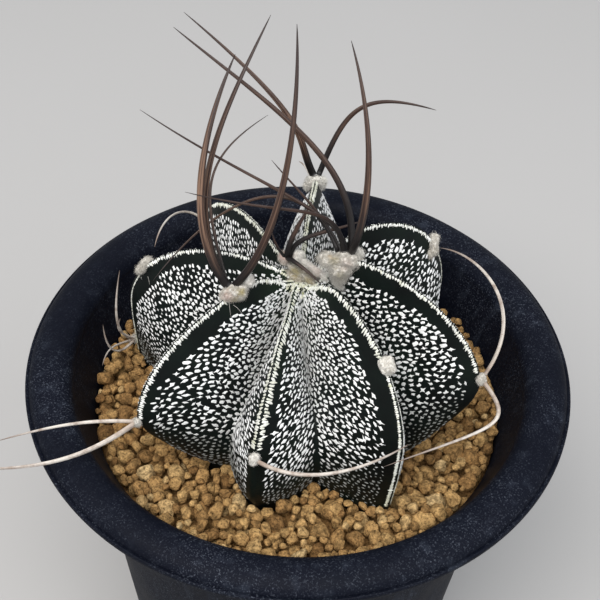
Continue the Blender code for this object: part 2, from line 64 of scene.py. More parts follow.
# The pot
RIM_RADIUS = 52.5
RIM_TOP = 91.0
RIM_CREST_RADIUS = 47.2       # where the rolled rim is highest
LIP = (87.2, 88.45)           # heights of the thin lip's underside and top, at the rim's edge
LIP_BEVEL = 0.3
GROOVE = (51.8, 88.3)         # radius and height of the fine groove between the lip and the roll
RIM_HOLLOW = (2.5, 4.0)       # the hollow under the roll, inwards and outwards of its crest
FLARE = (42.6, 83.5)          # radius and height of the bend where the wall turns out to the rim
BODY_TOP_RADIUS = 41.4
BODY_TOP = 79.0
BASE_RADIUS = 32.6
BASE_ROUND = 0.7              # height of the chamfer at the wall's foot
INSIDE_TOP_RADIUS = 40.0      # inside of the wall at the gravel's surface
INSIDE_FLOOR_RADIUS = 31.0
FLOOR_TOP = 4.0
FLOOR_CHAMFER = 1.5
RECESS = 2.0
HUB_RADIUS = 10.0
FOOT_RING = (28.6, 32.0)
DRAIN_HOLES = 6
DRAIN_RADIUS = 3.2
DRAIN_CIRCLE = 19.0
POT_SIDES = 192

# The gravel
SOIL = 80.0                   # height of the gravel's surface
GRAIN_CUTS = 11               # flat faces of a grain
GRAIN_DEPTH = 4.2             # the loose grains lie this deep, on a plain bed
GRAIN_SIZE = 1.62             # a usual grain's radius
GRAIN_SPREAD = 0.20           # spread of the radii about it, as a logarithm
GRAIN_SIZES = (1.05, 2.3)     # the smallest and the largest
SMALL_GRAINS = (0.7, 1.2)     # those that fill the last gaps
GRAIN_RISE = 1.3              # how far the grains' tops stand over the surface
GRAIN_RIPPLE = (0.7, 0.09)    # height of the waves in that, and how many there are to a millimetre
GRAIN_SINK = 0.8              # of a grain's radius over its middle, the share that stays below them
GRAIN_INNER = 17.0            # no grain comes nearer to the pot's axis
GRAIN_CLEAR = 0.55            # how far a grain's middle keeps from the stem, as a share of its radius
GRAIN_TOUCH = 0.90            # how near two grains come, as a share of the sum of their radii
GRAIN_PLACES = 14             # a grain tries this many places and takes the lowest
GRAIN_FAILS = (300, 500)      # tries without room before only small grains come, and before the end
GRAIN_STOCKS = ((3, 30), (2, 20))   # detail and number of shapes: grains in sight, and the others
GRAIN_SEEN = (0.9, 1.0)       # depth that a grain in sight rises above, and the radius that it is over
GRAIN_SWELL = 1.06            # the rough shapes are made this much larger to touch

# The stem. Its axis leans from the base point to the crown point as it rises.
STEM_BASE = np.array([1.0, 0.4])
CROWN_POINT = np.array([-0.5, 0.2])
CROWN_HEIGHT = 114.0
CROWN_RADIUS = 3.6            # where the ribs begin
CAP_MIDDLE = 112.3            # height of the middle of the cap inside them
RIB_TOP_RADIUS = 12.0         # where each rib is highest
LEAN_RADIUS = 25.0            # the lean has faded out this far from the axis
FLANK_BULGE = 1.2
BULGE_LENGTH = 14.0           # a flank shorter than this bulges less
BULGE_SHARE = 0.13            # and it bulges by no more than this share of its rib's half spacing
CREST_HALF_WIDTH = 0.9
CREST_TAPER = 0.12            # half width of a crest for each millimetre from the crown
FLANK_COLUMNS = 16
ROWS = (12, 48, 26)           # rows from crown to rib top, to the widest line, to the gravel
ROOT = ((75.0, 0.98), (70.0, 0.5), (52.0, 0.16))   # height and share of the outline at the surface
YOUNG_RADIUS = 14.0           # the skin is greener this near to the crown
SKIN_RIPPLE = (0.35, 0.12)    # waves to a millimetre, and their height

# Each rib: direction, height of its top, reach, height of its widest line, radius at the gravel
Rib = namedtuple("Rib", "azimuth top reach waist foot")
RIBS = {
    "front": Rib(-106, 112.0, 31.0, 86.5, 28.5),
    "front_right": Rib(-58, 120.0, 33.5, 99.0, 31.5),
    "right": Rib(-30, 123.8, 35.8, 105.5, 22.0),
    "back_right": Rib(27, 121.5, 28.8, 101.0, 26.5),
    "back": Rib(89, 118.8, 34.0, 97.0, 28.0),
    "back_left": Rib(125, 113.0, 37.3, 96.5, 31.0),
    "left": Rib(164, 115.0, 36.0, 94.5, 35.0),
    "front_left": Rib(218, 118.8, 37.3, 99.0, 25.3),
}
# The furrow between two ribs, as radius and height, from the crown down to the gravel
FURROW = ((3.0, 111.5), (6.2, 103.5), (14.0, 97.0), (20.5, 92.5), (22.8, 86.0), (21.5, SOIL))
FURROW_NARROWING = 0.004      # a furrow is this much deeper for each degree over an even spacing

# The smooth drop of wool on the front-right rib: its rib, its place along the crest (1 is the rib's
# top, 2 its widest line) and how far its middle stands off the crest
DROP = ("front_right", 1.45, 0.5)
# How each tuft looks: its lumps, hairs for each square millimetre and their length, the way they are
# combed, stains (kind, middle, radius and strength), streams of hair (middle, spread, ends and
# count) and single threads. A lump has its middle (none is the place and axes of the drop), its
# half sizes, the angle that it turns in the plane that faces the front from above, and its tone
Look = namedtuple("Look", "lumps hairs long comb stains streams threads")
TUFT_LOOKS = {
    "front_left": Look(
        (((-12.1, -9.6, 118.5), (2.25, 1.75, 1.8), 8, 0.45),
         ((-9.8, -7.9, 120.1), (1.3, 1.15, 1.1), 30, 0.85),
         ((-13.5, -9.9, 118.1), (1.1, 1.1, 1.2), 0, 0.55),
         ((-10.8, -9.3, 119.0), (1.1, 1.2, 1.2), 0, 0.60)),
        360, 1.1, (0.2, -0.5, -0.6),
        (("olive", (-10.6, -10.5, 119.8), 1.1, 0.95), ("olive", (-11.7, -11.6, 118.2), 1.2, 0.8),
         ("pink", (-13.3, -11.4, 119.0), 1.7, 0.6)),
        (), (((-12.8, -10.7, 117.1), (-12.6, -11.2, 115.6), (-12.4, -11.6, 114.2)),
             ((-12.1, -10.5, 116.4), (-11.1, -10.0, 115.2), (-10.2, -10.1, 113.0)))),
    "right": Look(
        (((7.3, -4.3, 122.9), (2.5, 1.6, 1.8), 0, 0.55),
         ((4.2, -4.3, 122.5), (2.0, 1.35, 1.4), -12, 0.50),
         ((9.3, -3.5, 123.7), (1.1, 1.0, 1.0), 35, 0.70), ((6.2, -5.2, 121.5), (2.3, 1.6, 1.5), 0, 0.50),
         ((6.5, -5.1, 119.7), (1.3, 1.6, 1.1), 0, 0.42)),
        380, 1.6, (-0.3, -0.7, -0.5),
        (("ochre", (4.6, -5.1, 124.5), 0.9, 0.9), ("olive", (5.2, -5.4, 123.6), 1.3, 0.5),
         ("pink", (7.4, -6.6, 123.5), 1.8, 0.35), ("olive", (6.5, -7.4, 121.0), 1.5, 0.45)),
        (((6.3, -4.6, 119.8), 0.75, ((6.7, -5.0, 117.4), (7.1, -4.9, 115.7)), 240),
         ((5.0, -3.8, 119.6), 0.7, ((5.4, -4.2, 116.3),), 200)), ()),
    "back": Look(
        (((1.5, 26.7, 113.3), (2.1, 1.35, 1.5), 0, 0.80),
         ((2.2, 26.5, 112.9), (1.3, 1.3, 1.3), -35, 0.75),
         ((0.6, 26.3, 112.7), (1.5, 1.2, 1.3), 30, 0.70)),
        420, 1.3, (0, -0.5, -0.3), (), (), ()),
    "front_right": Look(
        ((None, (1.4, 1.9, 1.4), 0, 0.70),), 300, 0.7, (0, -0.3, -0.9),
        (("cream", (15.2, -22.0, 115.4), 0.9, 0.6),), (), ()),
    "back_right": Look(
        (((24.1, 12.0, 113.0), (1.0, 1.6, 1.0), -8, 0.55),
         ((24.1, 11.0, 112.0), (0.9, 1.5, 0.9), 12, 0.42),
         ((23.5, 10.2, 111.1), (0.6, 1.0, 0.7), 25, 0.40)),
        420, 1.1, (-0.3, -0.4, -0.6), (), (), ()),
    "left": Look(
        (((-29.9, 9.7, 105.8), (1.5, 0.9, 1.0), 38, 0.50),
         ((-30.9, 8.8, 105.0), (1.3, 0.9, 0.9), 45, 0.45)),
        420, 1.1, (0.5, -0.3, -0.5), (), (),
        (((-30.8, 8.0, 103.4), (-30.9, 7.8, 102.9), (-30.6, 8.3, 102.3)),
         ((-29.5, 7.6, 104.0), (-29.1, 7.2, 102.9), (-29.1, 6.6, 101.7)))),
    "crown": Look(
        (((-0.6, 0.9, 112.8), (3.3, 1.9, 1.3), 0, 0.12),
         ((-3.5, 2.8, 115.6), (1.3, 1.4, 1.2), 0, 0.40), ((-1.3, 2.9, 116.1), (1.2, 1.2, 1.1), 30, 0.95),
         ((0.3, 1.9, 115.1), (1.8, 0.8, 0.9), -32, 0.80),
         ((2.3, 0.0, 115.2), (1.8, 0.75, 0.9), -32, 0.85),
         ((4.3, -2.2, 115.8), (1.7, 0.75, 0.8), -32, 0.90),
         ((6.3, -4.2, 116.3), (1.5, 0.7, 0.8), -34, 0.95),
         ((-1.4, 0.9, 114.1), (2.0, 0.65, 0.8), -34, 0.50),
         ((1.1, -0.9, 113.6), (1.7, 0.6, 0.8), -36, 0.50)),
        270, 1.2, (0.7, -0.5, 0.1),
        (("pink", (-3.6, 2.4, 116.6), 2.0, 0.8), ("pink", (2.6, -0.3, 115.6), 2.4, 0.35),
         ("olive", (-1.6, 0.2, 114.6), 1.6, 0.8), ("olive", (0.8, -1.5, 114.0), 1.6, 0.7)), (), ()),
}
STAINS = ("olive", "pink", "cream", "ochre")
STREAM_TONE = 0.65
THREAD = (0.045, 0.85)        # radius and tone of a single thread
LUMP_CUTS = 8                 # flat sides of a lump
# Directions of a lump's half sizes: right, back and up, front and up
LUMP_AXES = np.array([(1.0, 0.0, 0.0), (0.0, 0.72, 0.69), (0.0, -0.69, 0.72)])

# Spines: each is the points that its curve bends by, the last one its tip, and its root radius
BROWN = {
    "front_left": ((-12.6, -9.0, 119.8), (
        ((-20.0, -8.0, 130.0), (-19.5, -1.0, 143.5), (-13.0, 9.0, 156.0), 0.80),
        ((-21.5, -2.5, 133.5), (-16.0, 2.5, 145.0), (-7.5, 15.5, 159.5), 0.65),
        ((-18.5, 2.5, 130.5), (-19.5, 6.0, 135.0), (-7.5, 12.0, 141.0), 0.32),
        ((-5.0, -10.5, 131.0), (-1.5, -4.0, 147.5), (-3.0, 7.0, 164.0), 0.65))),
    "back": ((1.4, 26.8, 114.8), (
        ((-3.0, 28.0, 123.0), (1.5, 26.0, 127.5), (-24.5, 39.0, 142.5), 0.72),
        ((6.5, 33.0, 126.5), (9.0, 33.5, 131.0), (23.5, 30.5, 129.0), 0.50))),
    "right": ((7.6, -4.0, 124.2), (
        ((9.0, 5.0, 137.0), (-4.5, 8.0, 144.0), (-24.0, 17.0, 155.0), 0.58),
        ((9.0, -7.5, 130.5), (13.0, -1.5, 142.0), (6.0, 11.5, 158.0), 0.68),
        ((6.5, 0.5, 130.0), (-9.0, 2.0, 133.0), (-29.5, 10.0, 142.5), 0.40),
        ((5.0, -1.5, 135.0), (-1.0, -7.5, 134.5), (-20.5, -5.5, 138.0), 0.48),
        ((0.5, 7.5, 132.0), (-13.0, 8.0, 130.5), (-26.5, -6.5, 117.5), 0.36),
        ((3.5, 0.5, 128.5), (-2.0, 3.0, 132.0), (-6.5, 6.5, 135.5), 0.32))),
    "crown": ((-2.8, 2.0, 116.0), (
        ((-3.5, 2.5, 118.5), (-2.0, 3.5, 121.5), (1.0, 6.5, 126.5), 0.55),
        ((-2.5, 4.0, 120.5), (3.5, 3.0, 121.5), (10.0, 4.0, 124.5), 0.45),
        ((-4.5, 2.5, 117.5), (-5.5, 3.0, 118.5), (-6.0, 4.0, 120.5), 0.32),
        ((-2.6, 0.6, 117.6), (-0.4, -0.6, 117.2), (3.2, -3.4, 115.4), 0.60))),
}
# How each bunch of them looks: how far the dark foot of its spines reaches, as a power of the way
# along a spine, how far apart their roots stand for each millimetre that they lean sideways, and
# how pale each spine's streaks are
Bunch = namedtuple("Bunch", "foot spread pale")
BUNCHES = {"front_left": Bunch(1.0, 0.09, (1.0, 0.65, 0.35, 0.5)), "back": Bunch(1.3, 0.12, (0.9, 0.5)),
           "right": Bunch(1.7, 0.30, (0.45, 0.65, 0.35, 0.3, 0.6, 0.2)),
           "crown": Bunch(2.6, 0.30, (0.25, 0.15, 0.1, 0.25))}
ROOT_SPREAD = (-1.9, 0.9)     # the furthest that a root stands to either side
SPINE_RINGS, SPINE_SIDES = 44, 14
# Old spines at the lower areoles. By rib: the place of the bunch along the crest, the size and tone of
# the small wool pad that it grows from, and its spines
OLD = {
    "front": (1.76, 1.35, 0.80, (
        ((1.5, -33.0, 93.5), (13.0, -31.0, 98.0), (19.5, -29.0, 103.0), 0.48),)),
    "right": (1.92, 1.25, 0.55, (
        ((39.5, -22.0, 100.5), (35.5, -22.5, 101.5), (15.5, -31.2, 99.2), 0.42),
        ((42.5, -1.0, 107.8), (34.5, 15.8, 106.4), (26.5, 19.4, 103.8), 0.38))),
    "front_left": (2.06, 1.0, 0.6, (
        ((-36.0, -28.0, 95.0), (-43.0, -31.5, 93.5), (-59.5, -32.0, 94.0), 0.52),
        ((-36.5, -23.5, 99.0), (-42.5, -25.0, 99.0), (-53.0, -28.0, 97.0), 0.42))),
    "left": (2.76, 0.95, 0.5, (
        ((-36.0, 6.5, 87.5), (-36.5, 4.0, 95.0), (-35.0, 9.0, 104.0), 0.32),
        ((-37.0, 10.0, 85.0), (-36.5, 9.0, 88.5), (-35.5, 8.5, 91.0), 0.30),
        ((-35.5, 5.0, 83.5), (-37.5, 1.0, 88.0), (-38.0, 3.0, 95.0), 0.32),
        ((-36.5, 7.0, 84.5), (-37.5, 3.5, 89.0), (-37.5, -4.0, 91.0), 0.30))),
    "back_left": (1.98, 1.1, 0.5, (
        ((-25.7, 33.8, 99.7), (-28.2, 21.2, 107.2), (-28.8, 14.2, 105.5), 0.32),)),
    "back": (2.05, 1.1, 0.5, (
        ((0.5, 39.0, 99.0), (3.0, 43.0, 96.0), (5.0, 44.0, 90.0), 0.36),
        ((2.0, 38.0, 101.0), (0.0, 42.0, 104.0), (-2.0, 44.0, 103.0), 0.32))),
}

PAD_LIFT = 0.3                # how far a pad's middle stands off the crest
PAD_SHAPE = (0.80, 0.95, 0.75)   # half sizes across, along and out, for a pad of size 1
PAD_HAIRS = 420
PAD_HAIR_LENGTH = 0.9
PAD_COMB = (0, 0, -0.4)

# Flecks on a flank, for the one towards the previous rib and the one towards the next. At four
# places (the rib's top, halfway, above the widest line and low down): width of the bare band beside
# the crest, and the clear skin between flecks, less than 0 where they merge. Then a fleck's length,
# its breadth as a share of that, how far it slants down from the way to the crest, how much that
# twists from crest to furrow, how ragged it is, and the place where the flecks begin to fade: below
# it they age and darken, and the darkening is partly painted shade near the gravel
Cover = namedtuple("Cover", "bare gap size slim slant twist ragged fade")
BARE_PLACES = (1.0, 1.5, 1.75, 2.4)
PLAIN = Cover((1.2, 1.4, 1.2, 0.8), (0.16, 0.16, 0.18, 0.22), 1.25, 0.56, 15, 15, 0.35, 2.1)
COVER = {
    "front": (Cover((0.5, 0.4, 0.4, 0.2), (0.16, 0.14, 0.12, 0.24), 1.55, 0.43, 18, 10, 0.32, 1.82),
              Cover((0.5, 1.6, 0.8, 0.0), (0.08, 0.14, 0.20, 0.24), 1.50, 0.46, 44, 30, 0.32, 1.90)),
    "front_right": (Cover((2.4, 3.0, 2.8, 0.8), (0.06, 0.17, 0.17, 0.24), 1.48, 0.50, 42, 35, 0.34, 2.00),
                    Cover((0.6, 0.6, 0.6, 0.6), (0.12, 0.16, 0.18, 0.22), 1.30, 0.55, 20, 10, 0.32, 2.15)),
    "right": (Cover((2.7, 1.8, 1.2, 1.5), (0.13, 0.17, 0.24, 0.30), 1.42, 0.56, 18, 40, 0.40, 1.72),
              Cover((1.4, 1.8, 1.6, 1.2), (0.14, 0.16, 0.20, 0.24), 1.25, 0.58, 15, 15, 0.40, 2.1)),
    "back_right": (Cover((1.5, 1.7, 0.7, 0.3), (0.12, 0.16, 0.16, 0.20), 1.32, 0.58, 18, 15, 0.40, 2.2),
                   PLAIN._replace(slim=0.58)),
    "back": (PLAIN, PLAIN),
    "back_left": (PLAIN._replace(bare=(1.4, 1.4, 1.2, 0.8)),
                  Cover((1.5, 1.1, 0.7, 0.4), (0.10, 0.12, 0.16, 0.20), 1.25, 0.48, -5, 0, 0.32, 2.3)),
    "left": (PLAIN._replace(size=1.20, slim=0.58, slant=10, twist=10),
             Cover((1.6, 1.7, 2.0, 0.5), (0.14, 0.15, 0.16, 0.18), 1.10, 0.66, -20, 0, 0.33, 2.15)),
    "front_left": (Cover((0.5, 0.6, 0.6, 0.6), (0.14, 0.16, 0.18, 0.22), 1.20, 0.58, 10, 10, 0.35, 2.1),
                   Cover((3.2, 2.5, 0.8, 0.3), (0.12, 0.20, 0.24, 0.26), 1.50, 0.50, 24, 60, 0.34, 1.84)),
}
# Clear skin beside a furrow, at three places, where the flecks don't meet across it
FURROW_CLEAR_PLACES = (1.15, 1.5, 2.2)
FURROW_CLEAR = (0.1, 0.85, 0.95)
# Where the clear skin doesn't lie at the furrow itself: its two edges in millimetres from it
FURROW_ASIDE = {("front_left", 1): (1.3, 2.2), ("front", 0): (0.0, 0.05)}
MERGED_GAP = -0.10            # the gap where flecks have merged beside a furrow
# The place above which they merge there, on the flanks where they do
MERGED = {("front_left", 1): 1.30, ("front", 0): 1.20, ("front", 1): 1.05, ("front_right", 0): 1.05,
          ("back_left", 1): 1.25}
MERGED_ELSEWHERE = 0.75
FLECK_TRIES = 28              # places tried for each square millimetre of a flank
FLECK_NEIGHBOURS = 120        # a fleck keeps clear of this many that came before it
# Dark growth lines across a flank: rib, flank, place at the furrow and at the crest
GROWTH_LINES = (("front_left", 1, 1.76, 1.62), ("front_left", 1, 2.06, 1.97),
                ("front_right", 0, 1.55, 1.55), ("front_right", 0, 1.86, 1.82),
                ("front", 1, 1.66, 1.60), ("right", 0, 1.75, 1.85))
GROWTH_LINE_WIDTH = 0.4

# Scales along the ribs' edges: length of a scale, spacing, the place where the comb ends, how
# white it is, the size of the beads that go on below it on each side (0 for none), their tone
Comb = namedtuple("Comb", "length pitch end white beads bead_tone")
BEAD_PITCH = 0.42
CAP_FLECKS = 150              # flecks between the scales on the crown's cap
COMBS = {
    "front": Comb(1.58, 0.62, 1.72, 0.72, (0.0, 0.0), 0.15),
    "front_right": Comb(1.52, 0.56, 1.42, 0.84, (0.80, 0.36), 0.80),
    "right": Comb(1.10, 0.50, 1.86, 0.84, (0.0, 0.0), 0.5),
    "back_right": Comb(0.95, 0.48, 1.62, 0.95, (0.40, 0.40), 0.7),
    "back": Comb(1.15, 0.52, 1.46, 0.55, (0.40, 0.40), 0.5),
    "back_left": Comb(1.00, 0.50, 1.95, 0.68, (0.34, 0.34), 0.5),
    "left": Comb(0.95, 0.48, 1.66, 0.94, (0.40, 0.40), 0.7),
    "front_left": Comb(1.22, 0.50, 2.02, 0.98, (0.0, 0.0), 0.5),
}


def ease(x):
    x = np.clip(x, 0.0, 1.0)
    return x * x * (3 - 2 * x)


def unit(v):
    return v / np.linalg.norm(v, axis=-1, keepdims=True)


def run_along(points):
    """How far along a line each of its points lies."""
    return np.concatenate([[0], np.cumsum(np.linalg.norm(np.diff(points, axis=0), axis=1))])


# Materials

def new_material(name, colour, roughness):
    mat = bpy.data.materials.new(name)
    mat.use_nodes = True
    shader = mat.node_tree.nodes["Principled BSDF"]
    shader.inputs["Base Color"].default_value = (*colour, 1.0)
    shader.inputs["Roughness"].default_value = roughness
    return mat, mat.node_tree, shader


def node(tree, kind, **settings):
    made = tree.nodes.new(kind)
    for key, value in settings.items():
        if key in made.inputs:
            made.inputs[key].default_value = value
        else:
            setattr(made, key, value)
    return made


def object_place(tree):
    return node(tree, "ShaderNodeTexCoord").outputs["Object"]


def noise_at(tree, where, scale, detail=3.0, roughness=0.5, **more):
    tex = node(tree, "ShaderNodeTexNoise", Scale=scale, Detail=detail, Roughness=roughness, **more)
    tree.links.new(where, tex.inputs["Vector"])
    return tex.outputs["Fac"]


def ramp(tree, value, stops):
    """A colour ramp of (place, colour) stops, or of (place, grey) stops."""
    made = node(tree, "ShaderNodeValToRGB")
    elements = made.color_ramp.elements
    while len(elements) < len(stops):
        elements.new(0.5)
    for element, (place, colour) in zip(elements, stops):
        element.position = place
        grey = isinstance(colour, (int, float))
        element.color = (colour, colour, colour, 1.0) if grey else (*colour, 1.0)
    tree.links.new(value, made.inputs["Fac"])
    return made.outputs["Color"]


def feed(tree, sockets, values):
    """Give each socket its value: another socket, a number or a colour."""
    for socket, value in zip(sockets, values):
        if isinstance(value, bpy.types.NodeSocket):
            tree.links.new(value, socket)
        elif isinstance(value, (int, float)):
            socket.default_value = value
        else:
            socket.default_value = (*value, 1.0)


def mix(tree, factor, a, b, blend="MIX"):
    """Mix two colours. Each is a socket or a colour, and the factor is a socket or a number."""
    made = node(tree, "ShaderNodeMix", data_type="RGBA", blend_type=blend)
    feed(tree, (made.inputs["Factor"], made.inputs[6], made.inputs[7]), (factor, a, b))
    return made.outputs[2]


def times(tree, a, b, operation="MULTIPLY"):
    made = node(tree, "ShaderNodeMath", operation=operation)
    feed(tree, made.inputs, (a, b))
    return made.outputs[0]


def attribute(tree, name):
    return node(tree, "ShaderNodeAttribute", attribute_name=name).outputs["Fac"]


def add_bump(tree, shader, height, distance, strength=1.0):
    made = node(tree, "ShaderNodeBump", Strength=strength, Distance=distance * MM)
    tree.links.new(height, made.inputs["Height"])
    tree.links.new(made.outputs["Normal"], shader.inputs["Normal"])


def dress(tree, shader, colour, specular):
    tree.links.new(colour, shader.inputs["Base Color"])
    shader.inputs["Specular IOR Level"].default_value = specular


def pot_material():
    """Blue-black plastic with a fine grain, lime dust in specks and faint upright scuffs."""
    mat, tree, shader = new_material("pot_plastic", (0.006, 0.0075, 0.013), 0.6)
    where = object_place(tree)
    grain = noise_at(tree, where, 1500.0, detail=4.0, roughness=0.65)
    cloud = noise_at(tree, where, 70.0, detail=6.0, roughness=0.62)
    specks = noise_at(tree, where, 2900.0, detail=3.0, roughness=0.7)
    specks = ramp(tree, specks, [(0.55, 0.0), (0.70, 1.0)])
    squash = node(tree, "ShaderNodeMapping", Scale=(1.0, 1.0, 0.18))
    tree.links.new(where, squash.inputs["Vector"])
    scuff = ramp(tree, noise_at(tree, squash.outputs[0], 420.0, detail=4.0), [(0.54, 0.0), (0.74, 1.0)])
    dusty = ramp(tree, cloud, [(0.40, 0.15), (0.64, 1.0)])
    base = mix(tree, cloud, (0.0015, 0.002, 0.005), (0.006, 0.008, 0.015))
    colour = mix(tree, times(tree, scuff, times(tree, dusty, 0.16)), base,
                 (0.09, 0.11, 0.15))
    colour = mix(tree, times(tree, specks, times(tree, dusty, 0.55)), colour,
                 (0.14, 0.16, 0.20))
    dress(tree, shader, colour, 0.07)
    rough = ramp(tree, cloud, [(0.3, 0.5), (0.7, 0.68)])
    tree.links.new(rough, shader.inputs["Roughness"])
    add_bump(tree, shader, grain, 0.14, 0.6)
    return mat


def skin_material():
    mat, tree, shader = new_material("skin", (0.005, 0.009, 0.007), 0.55)
    where = object_place(tree)
    patch = noise_at(tree, where, 140.0, detail=4.0)
    fine = noise_at(tree, where, 1500.0, detail=3.0)
    colour = ramp(tree, patch, [(0.3, (0.002, 0.003, 0.003)), (0.55, (0.003, 0.006, 0.005)),
                                (0.8, (0.005, 0.010, 0.006))])
    young = times(tree, attribute(tree, "young"), 0.6)
    colour = mix(tree, young, colour, (0.012, 0.026, 0.013))
    dress(tree, shader, colour, 0.15)
    add_bump(tree, shader, fine, 0.10, 0.5)
    return mat


def hair_material(name, clean, dull):
    """Felty hair: its tone attribute goes from dull to clean, with fine streaks and any stains. On low
    flecks and scales the dull end is partly painted shade.
    """
    mat, tree, shader = new_material(name, clean, 0.95)
    where = object_place(tree)
    fine = noise_at(tree, where, 2600.0, detail=3.0, roughness=0.6)
    streak = ramp(tree, fine, [(0.30, 0.74), (0.62, 1.0)])
    colour = mix(tree, attribute(tree, "tone"), dull, clean)
    for kind, stain in (("olive", (0.27, 0.22, 0.075)), ("pink", (0.46, 0.32, 0.28)),
                        ("cream", (0.66, 0.57, 0.37)), ("ochre", (0.45, 0.25, 0.05))):
        colour = mix(tree, attribute(tree, kind), colour, stain)
    colour = mix(tree, 1.0, colour, streak, "MULTIPLY")
    dress(tree, shader, colour, 0.2)
    shader.inputs["Sheen Weight"].default_value = 0.2
    add_bump(tree, shader, fine, 0.10, 0.6)
    return mat


def spine_material(name, stops, streak_colour, patches, roughness):
    """Horn with lengthwise streaks: along runs from root to tip, around goes round the spine."""
    mat, tree, shader = new_material(name, stops[1][1], roughness)
    along, around = attribute(tree, "along"), attribute(tree, "around")
    place = node(tree, "ShaderNodeCombineXYZ")
    tree.links.new(times(tree, along, 1.6), place.inputs[0])
    tree.links.new(times(tree, around, 5.0), place.inputs[1])
    tree.links.new(attribute(tree, "tone"), place.inputs[2])
    streaks = noise_at(tree, place.outputs[0], 2.0, detail=4.0, roughness=0.6)
    colour = ramp(tree, along, stops)
    amount = ramp(tree, streaks, [(0.45, 0.0), (0.60, 1.0)])
    free = ramp(tree, along, [(0.06, 0.0), (0.24, 0.7), (0.45, 1.0), (0.80, 0.5), (1.0, 0.1)])
    amount = times(tree, amount, attribute(tree, "pale"))
    colour = mix(tree, times(tree, amount, free), colour, streak_colour)
    if patches:
        scale, patch = patches
        spread = ramp(tree, noise_at(tree, object_place(tree), scale, detail=4.0, roughness=0.65),
                      [(0.45, 0.0), (0.66, 0.8)])
        colour = mix(tree, spread, colour, patch)
    dress(tree, shader, colour, 0.35)
    add_bump(tree, shader, streaks, 0.12, 0.7)
    return mat


def gravel_material():
    """Fired clay: ochre grains with dark pores, pale dust and a rough break."""
    mat, tree, shader = new_material("gravel", (0.40, 0.25, 0.11), 0.95)
    where = object_place(tree)
    pores = noise_at(tree, where, 2300.0, detail=5.0, roughness=0.72)
    lumps = noise_at(tree, where, 700.0, detail=4.0, roughness=0.6)
    colour = ramp(tree, attribute(tree, "tone"), [(0.0, (0.18, 0.095, 0.035)), (0.35, (0.38, 0.22, 0.085)),
                                                  (0.7, (0.51, 0.32, 0.13)), (1.0, (0.64, 0.45, 0.22))])
    shade = ramp(tree, pores, [(0.34, 0.18), (0.45, 0.72), (0.56, 1.0), (0.72, 1.5)])
    colour = mix(tree, 1.0, colour, shade, "MULTIPLY")
    stain = ramp(tree, lumps, [(0.34, 0.45), (0.52, 1.0), (0.75, 1.2)])
    colour = mix(tree, 1.0, colour, stain, "MULTIPLY")
    dress(tree, shader, colour, 0.12)
    height = times(tree, times(tree, pores, 0.6), lumps, "ADD")
    add_bump(tree, shader, height, 0.50, 1.0)
    return mat


def floor_material():
    mat, tree, shader = new_material("floor", (0.445, 0.44, 0.43), 0.8)
    where = object_place(tree)
    cloud = noise_at(tree, where, 6.0, detail=4.0)
    colour = mix(tree, cloud, (0.43, 0.425, 0.415), (0.46, 0.455, 0.45))
    tree.links.new(colour, shader.inputs["Base Color"])
    return mat


# Meshes

def show(obj):
    bpy.context.scene.collection.objects.link(obj)


def piece(name, points, faces, mat, slot, replaces=(), **values):
    """An object of points in millimetres and faces, with a value for each point by name."""
    mesh = bpy.data.meshes.new(name)
    mesh.from_pydata((np.asarray(points) * MM).tolist(), [], [list(f) for f in faces])
    mesh.validate()
    for key, data in values.items():
        layer = mesh.attributes.new(key, "FLOAT", "POINT")
        layer.data.foreach_set("value", np.asarray(data, np.float32).ravel())
    mesh.shade_smooth()
    mesh.materials.append(mat)
    obj = bpy.data.objects.new(name, mesh)
    show(obj)
    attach(obj, "root")
    if replaces:
        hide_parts(*replaces)
    return obj


class Pile:
    """Points, faces and point values of many small bodies that become one piece."""

    def __init__(self):
        self.points, self.faces, self.values, self.count = [], [], {}, 0

    def add(self, points, faces, **values):
        points = np.asarray(points, float).reshape(-1, 3)
        self.points.append(points)
        self.faces += [[v + self.count for v in f] for f in faces]
        for key, data in values.items():
            data = np.broadcast_to(np.asarray(data, float), (len(points),))
            self.values.setdefault(key, []).append(data)
        self.count += len(points)

    def piece(self, name, mat, slot, replaces=(), crease=None):
        """Make the piece. Its edges that turn by more than crease degrees stay sharp."""
        values = {key: np.concatenate(data) for key, data in self.values.items()}
        made = piece(name, np.concatenate(self.points), self.faces, mat, slot, replaces, **values)
        if crease:
            made.data.set_sharp_from_angle(angle=math.radians(crease))
        return made


def grid_faces(rows, columns, closed=True):
    """Quads of a grid of points, whose columns close round if asked."""
    last = columns if closed else columns - 1
    return [(i * columns + j, (i + 1) * columns + j,
             (i + 1) * columns + (j + 1) % columns, i * columns + (j + 1) % columns)
            for i in range(rows - 1) for j in range(last)]


def end_fans(rows, columns):
    """Triangles that close both ends of a closed grid, at two points that follow the grid's own."""
    first, top = rows * columns, (rows - 1) * columns
    for j in range(columns):
        k = (j + 1) % columns
        yield first, j, k
        yield first + 1, top + k, top + j


def unit_ball(detail):
    """Points and triangles of a ball."""
    made = bpy.data.meshes.new("ball")
    bm = bmesh.new()
    bmesh.ops.create_icosphere(bm, subdivisions=detail, radius=1.0)
    bm.to_mesh(made)
    bm.free()
    points = np.array([v.co for v in made.vertices])
    faces = [tuple(p.vertices) for p in made.polygons]
    bpy.data.meshes.remove(made)
    return points, faces


# The pot

def arc(centre, across, high, start, end, count):
    for i in range(count + 1):
        a = math.radians(start + (end - start) * i / count)
        yield centre[0] + across * math.cos(a), centre[1] + high * math.sin(a)


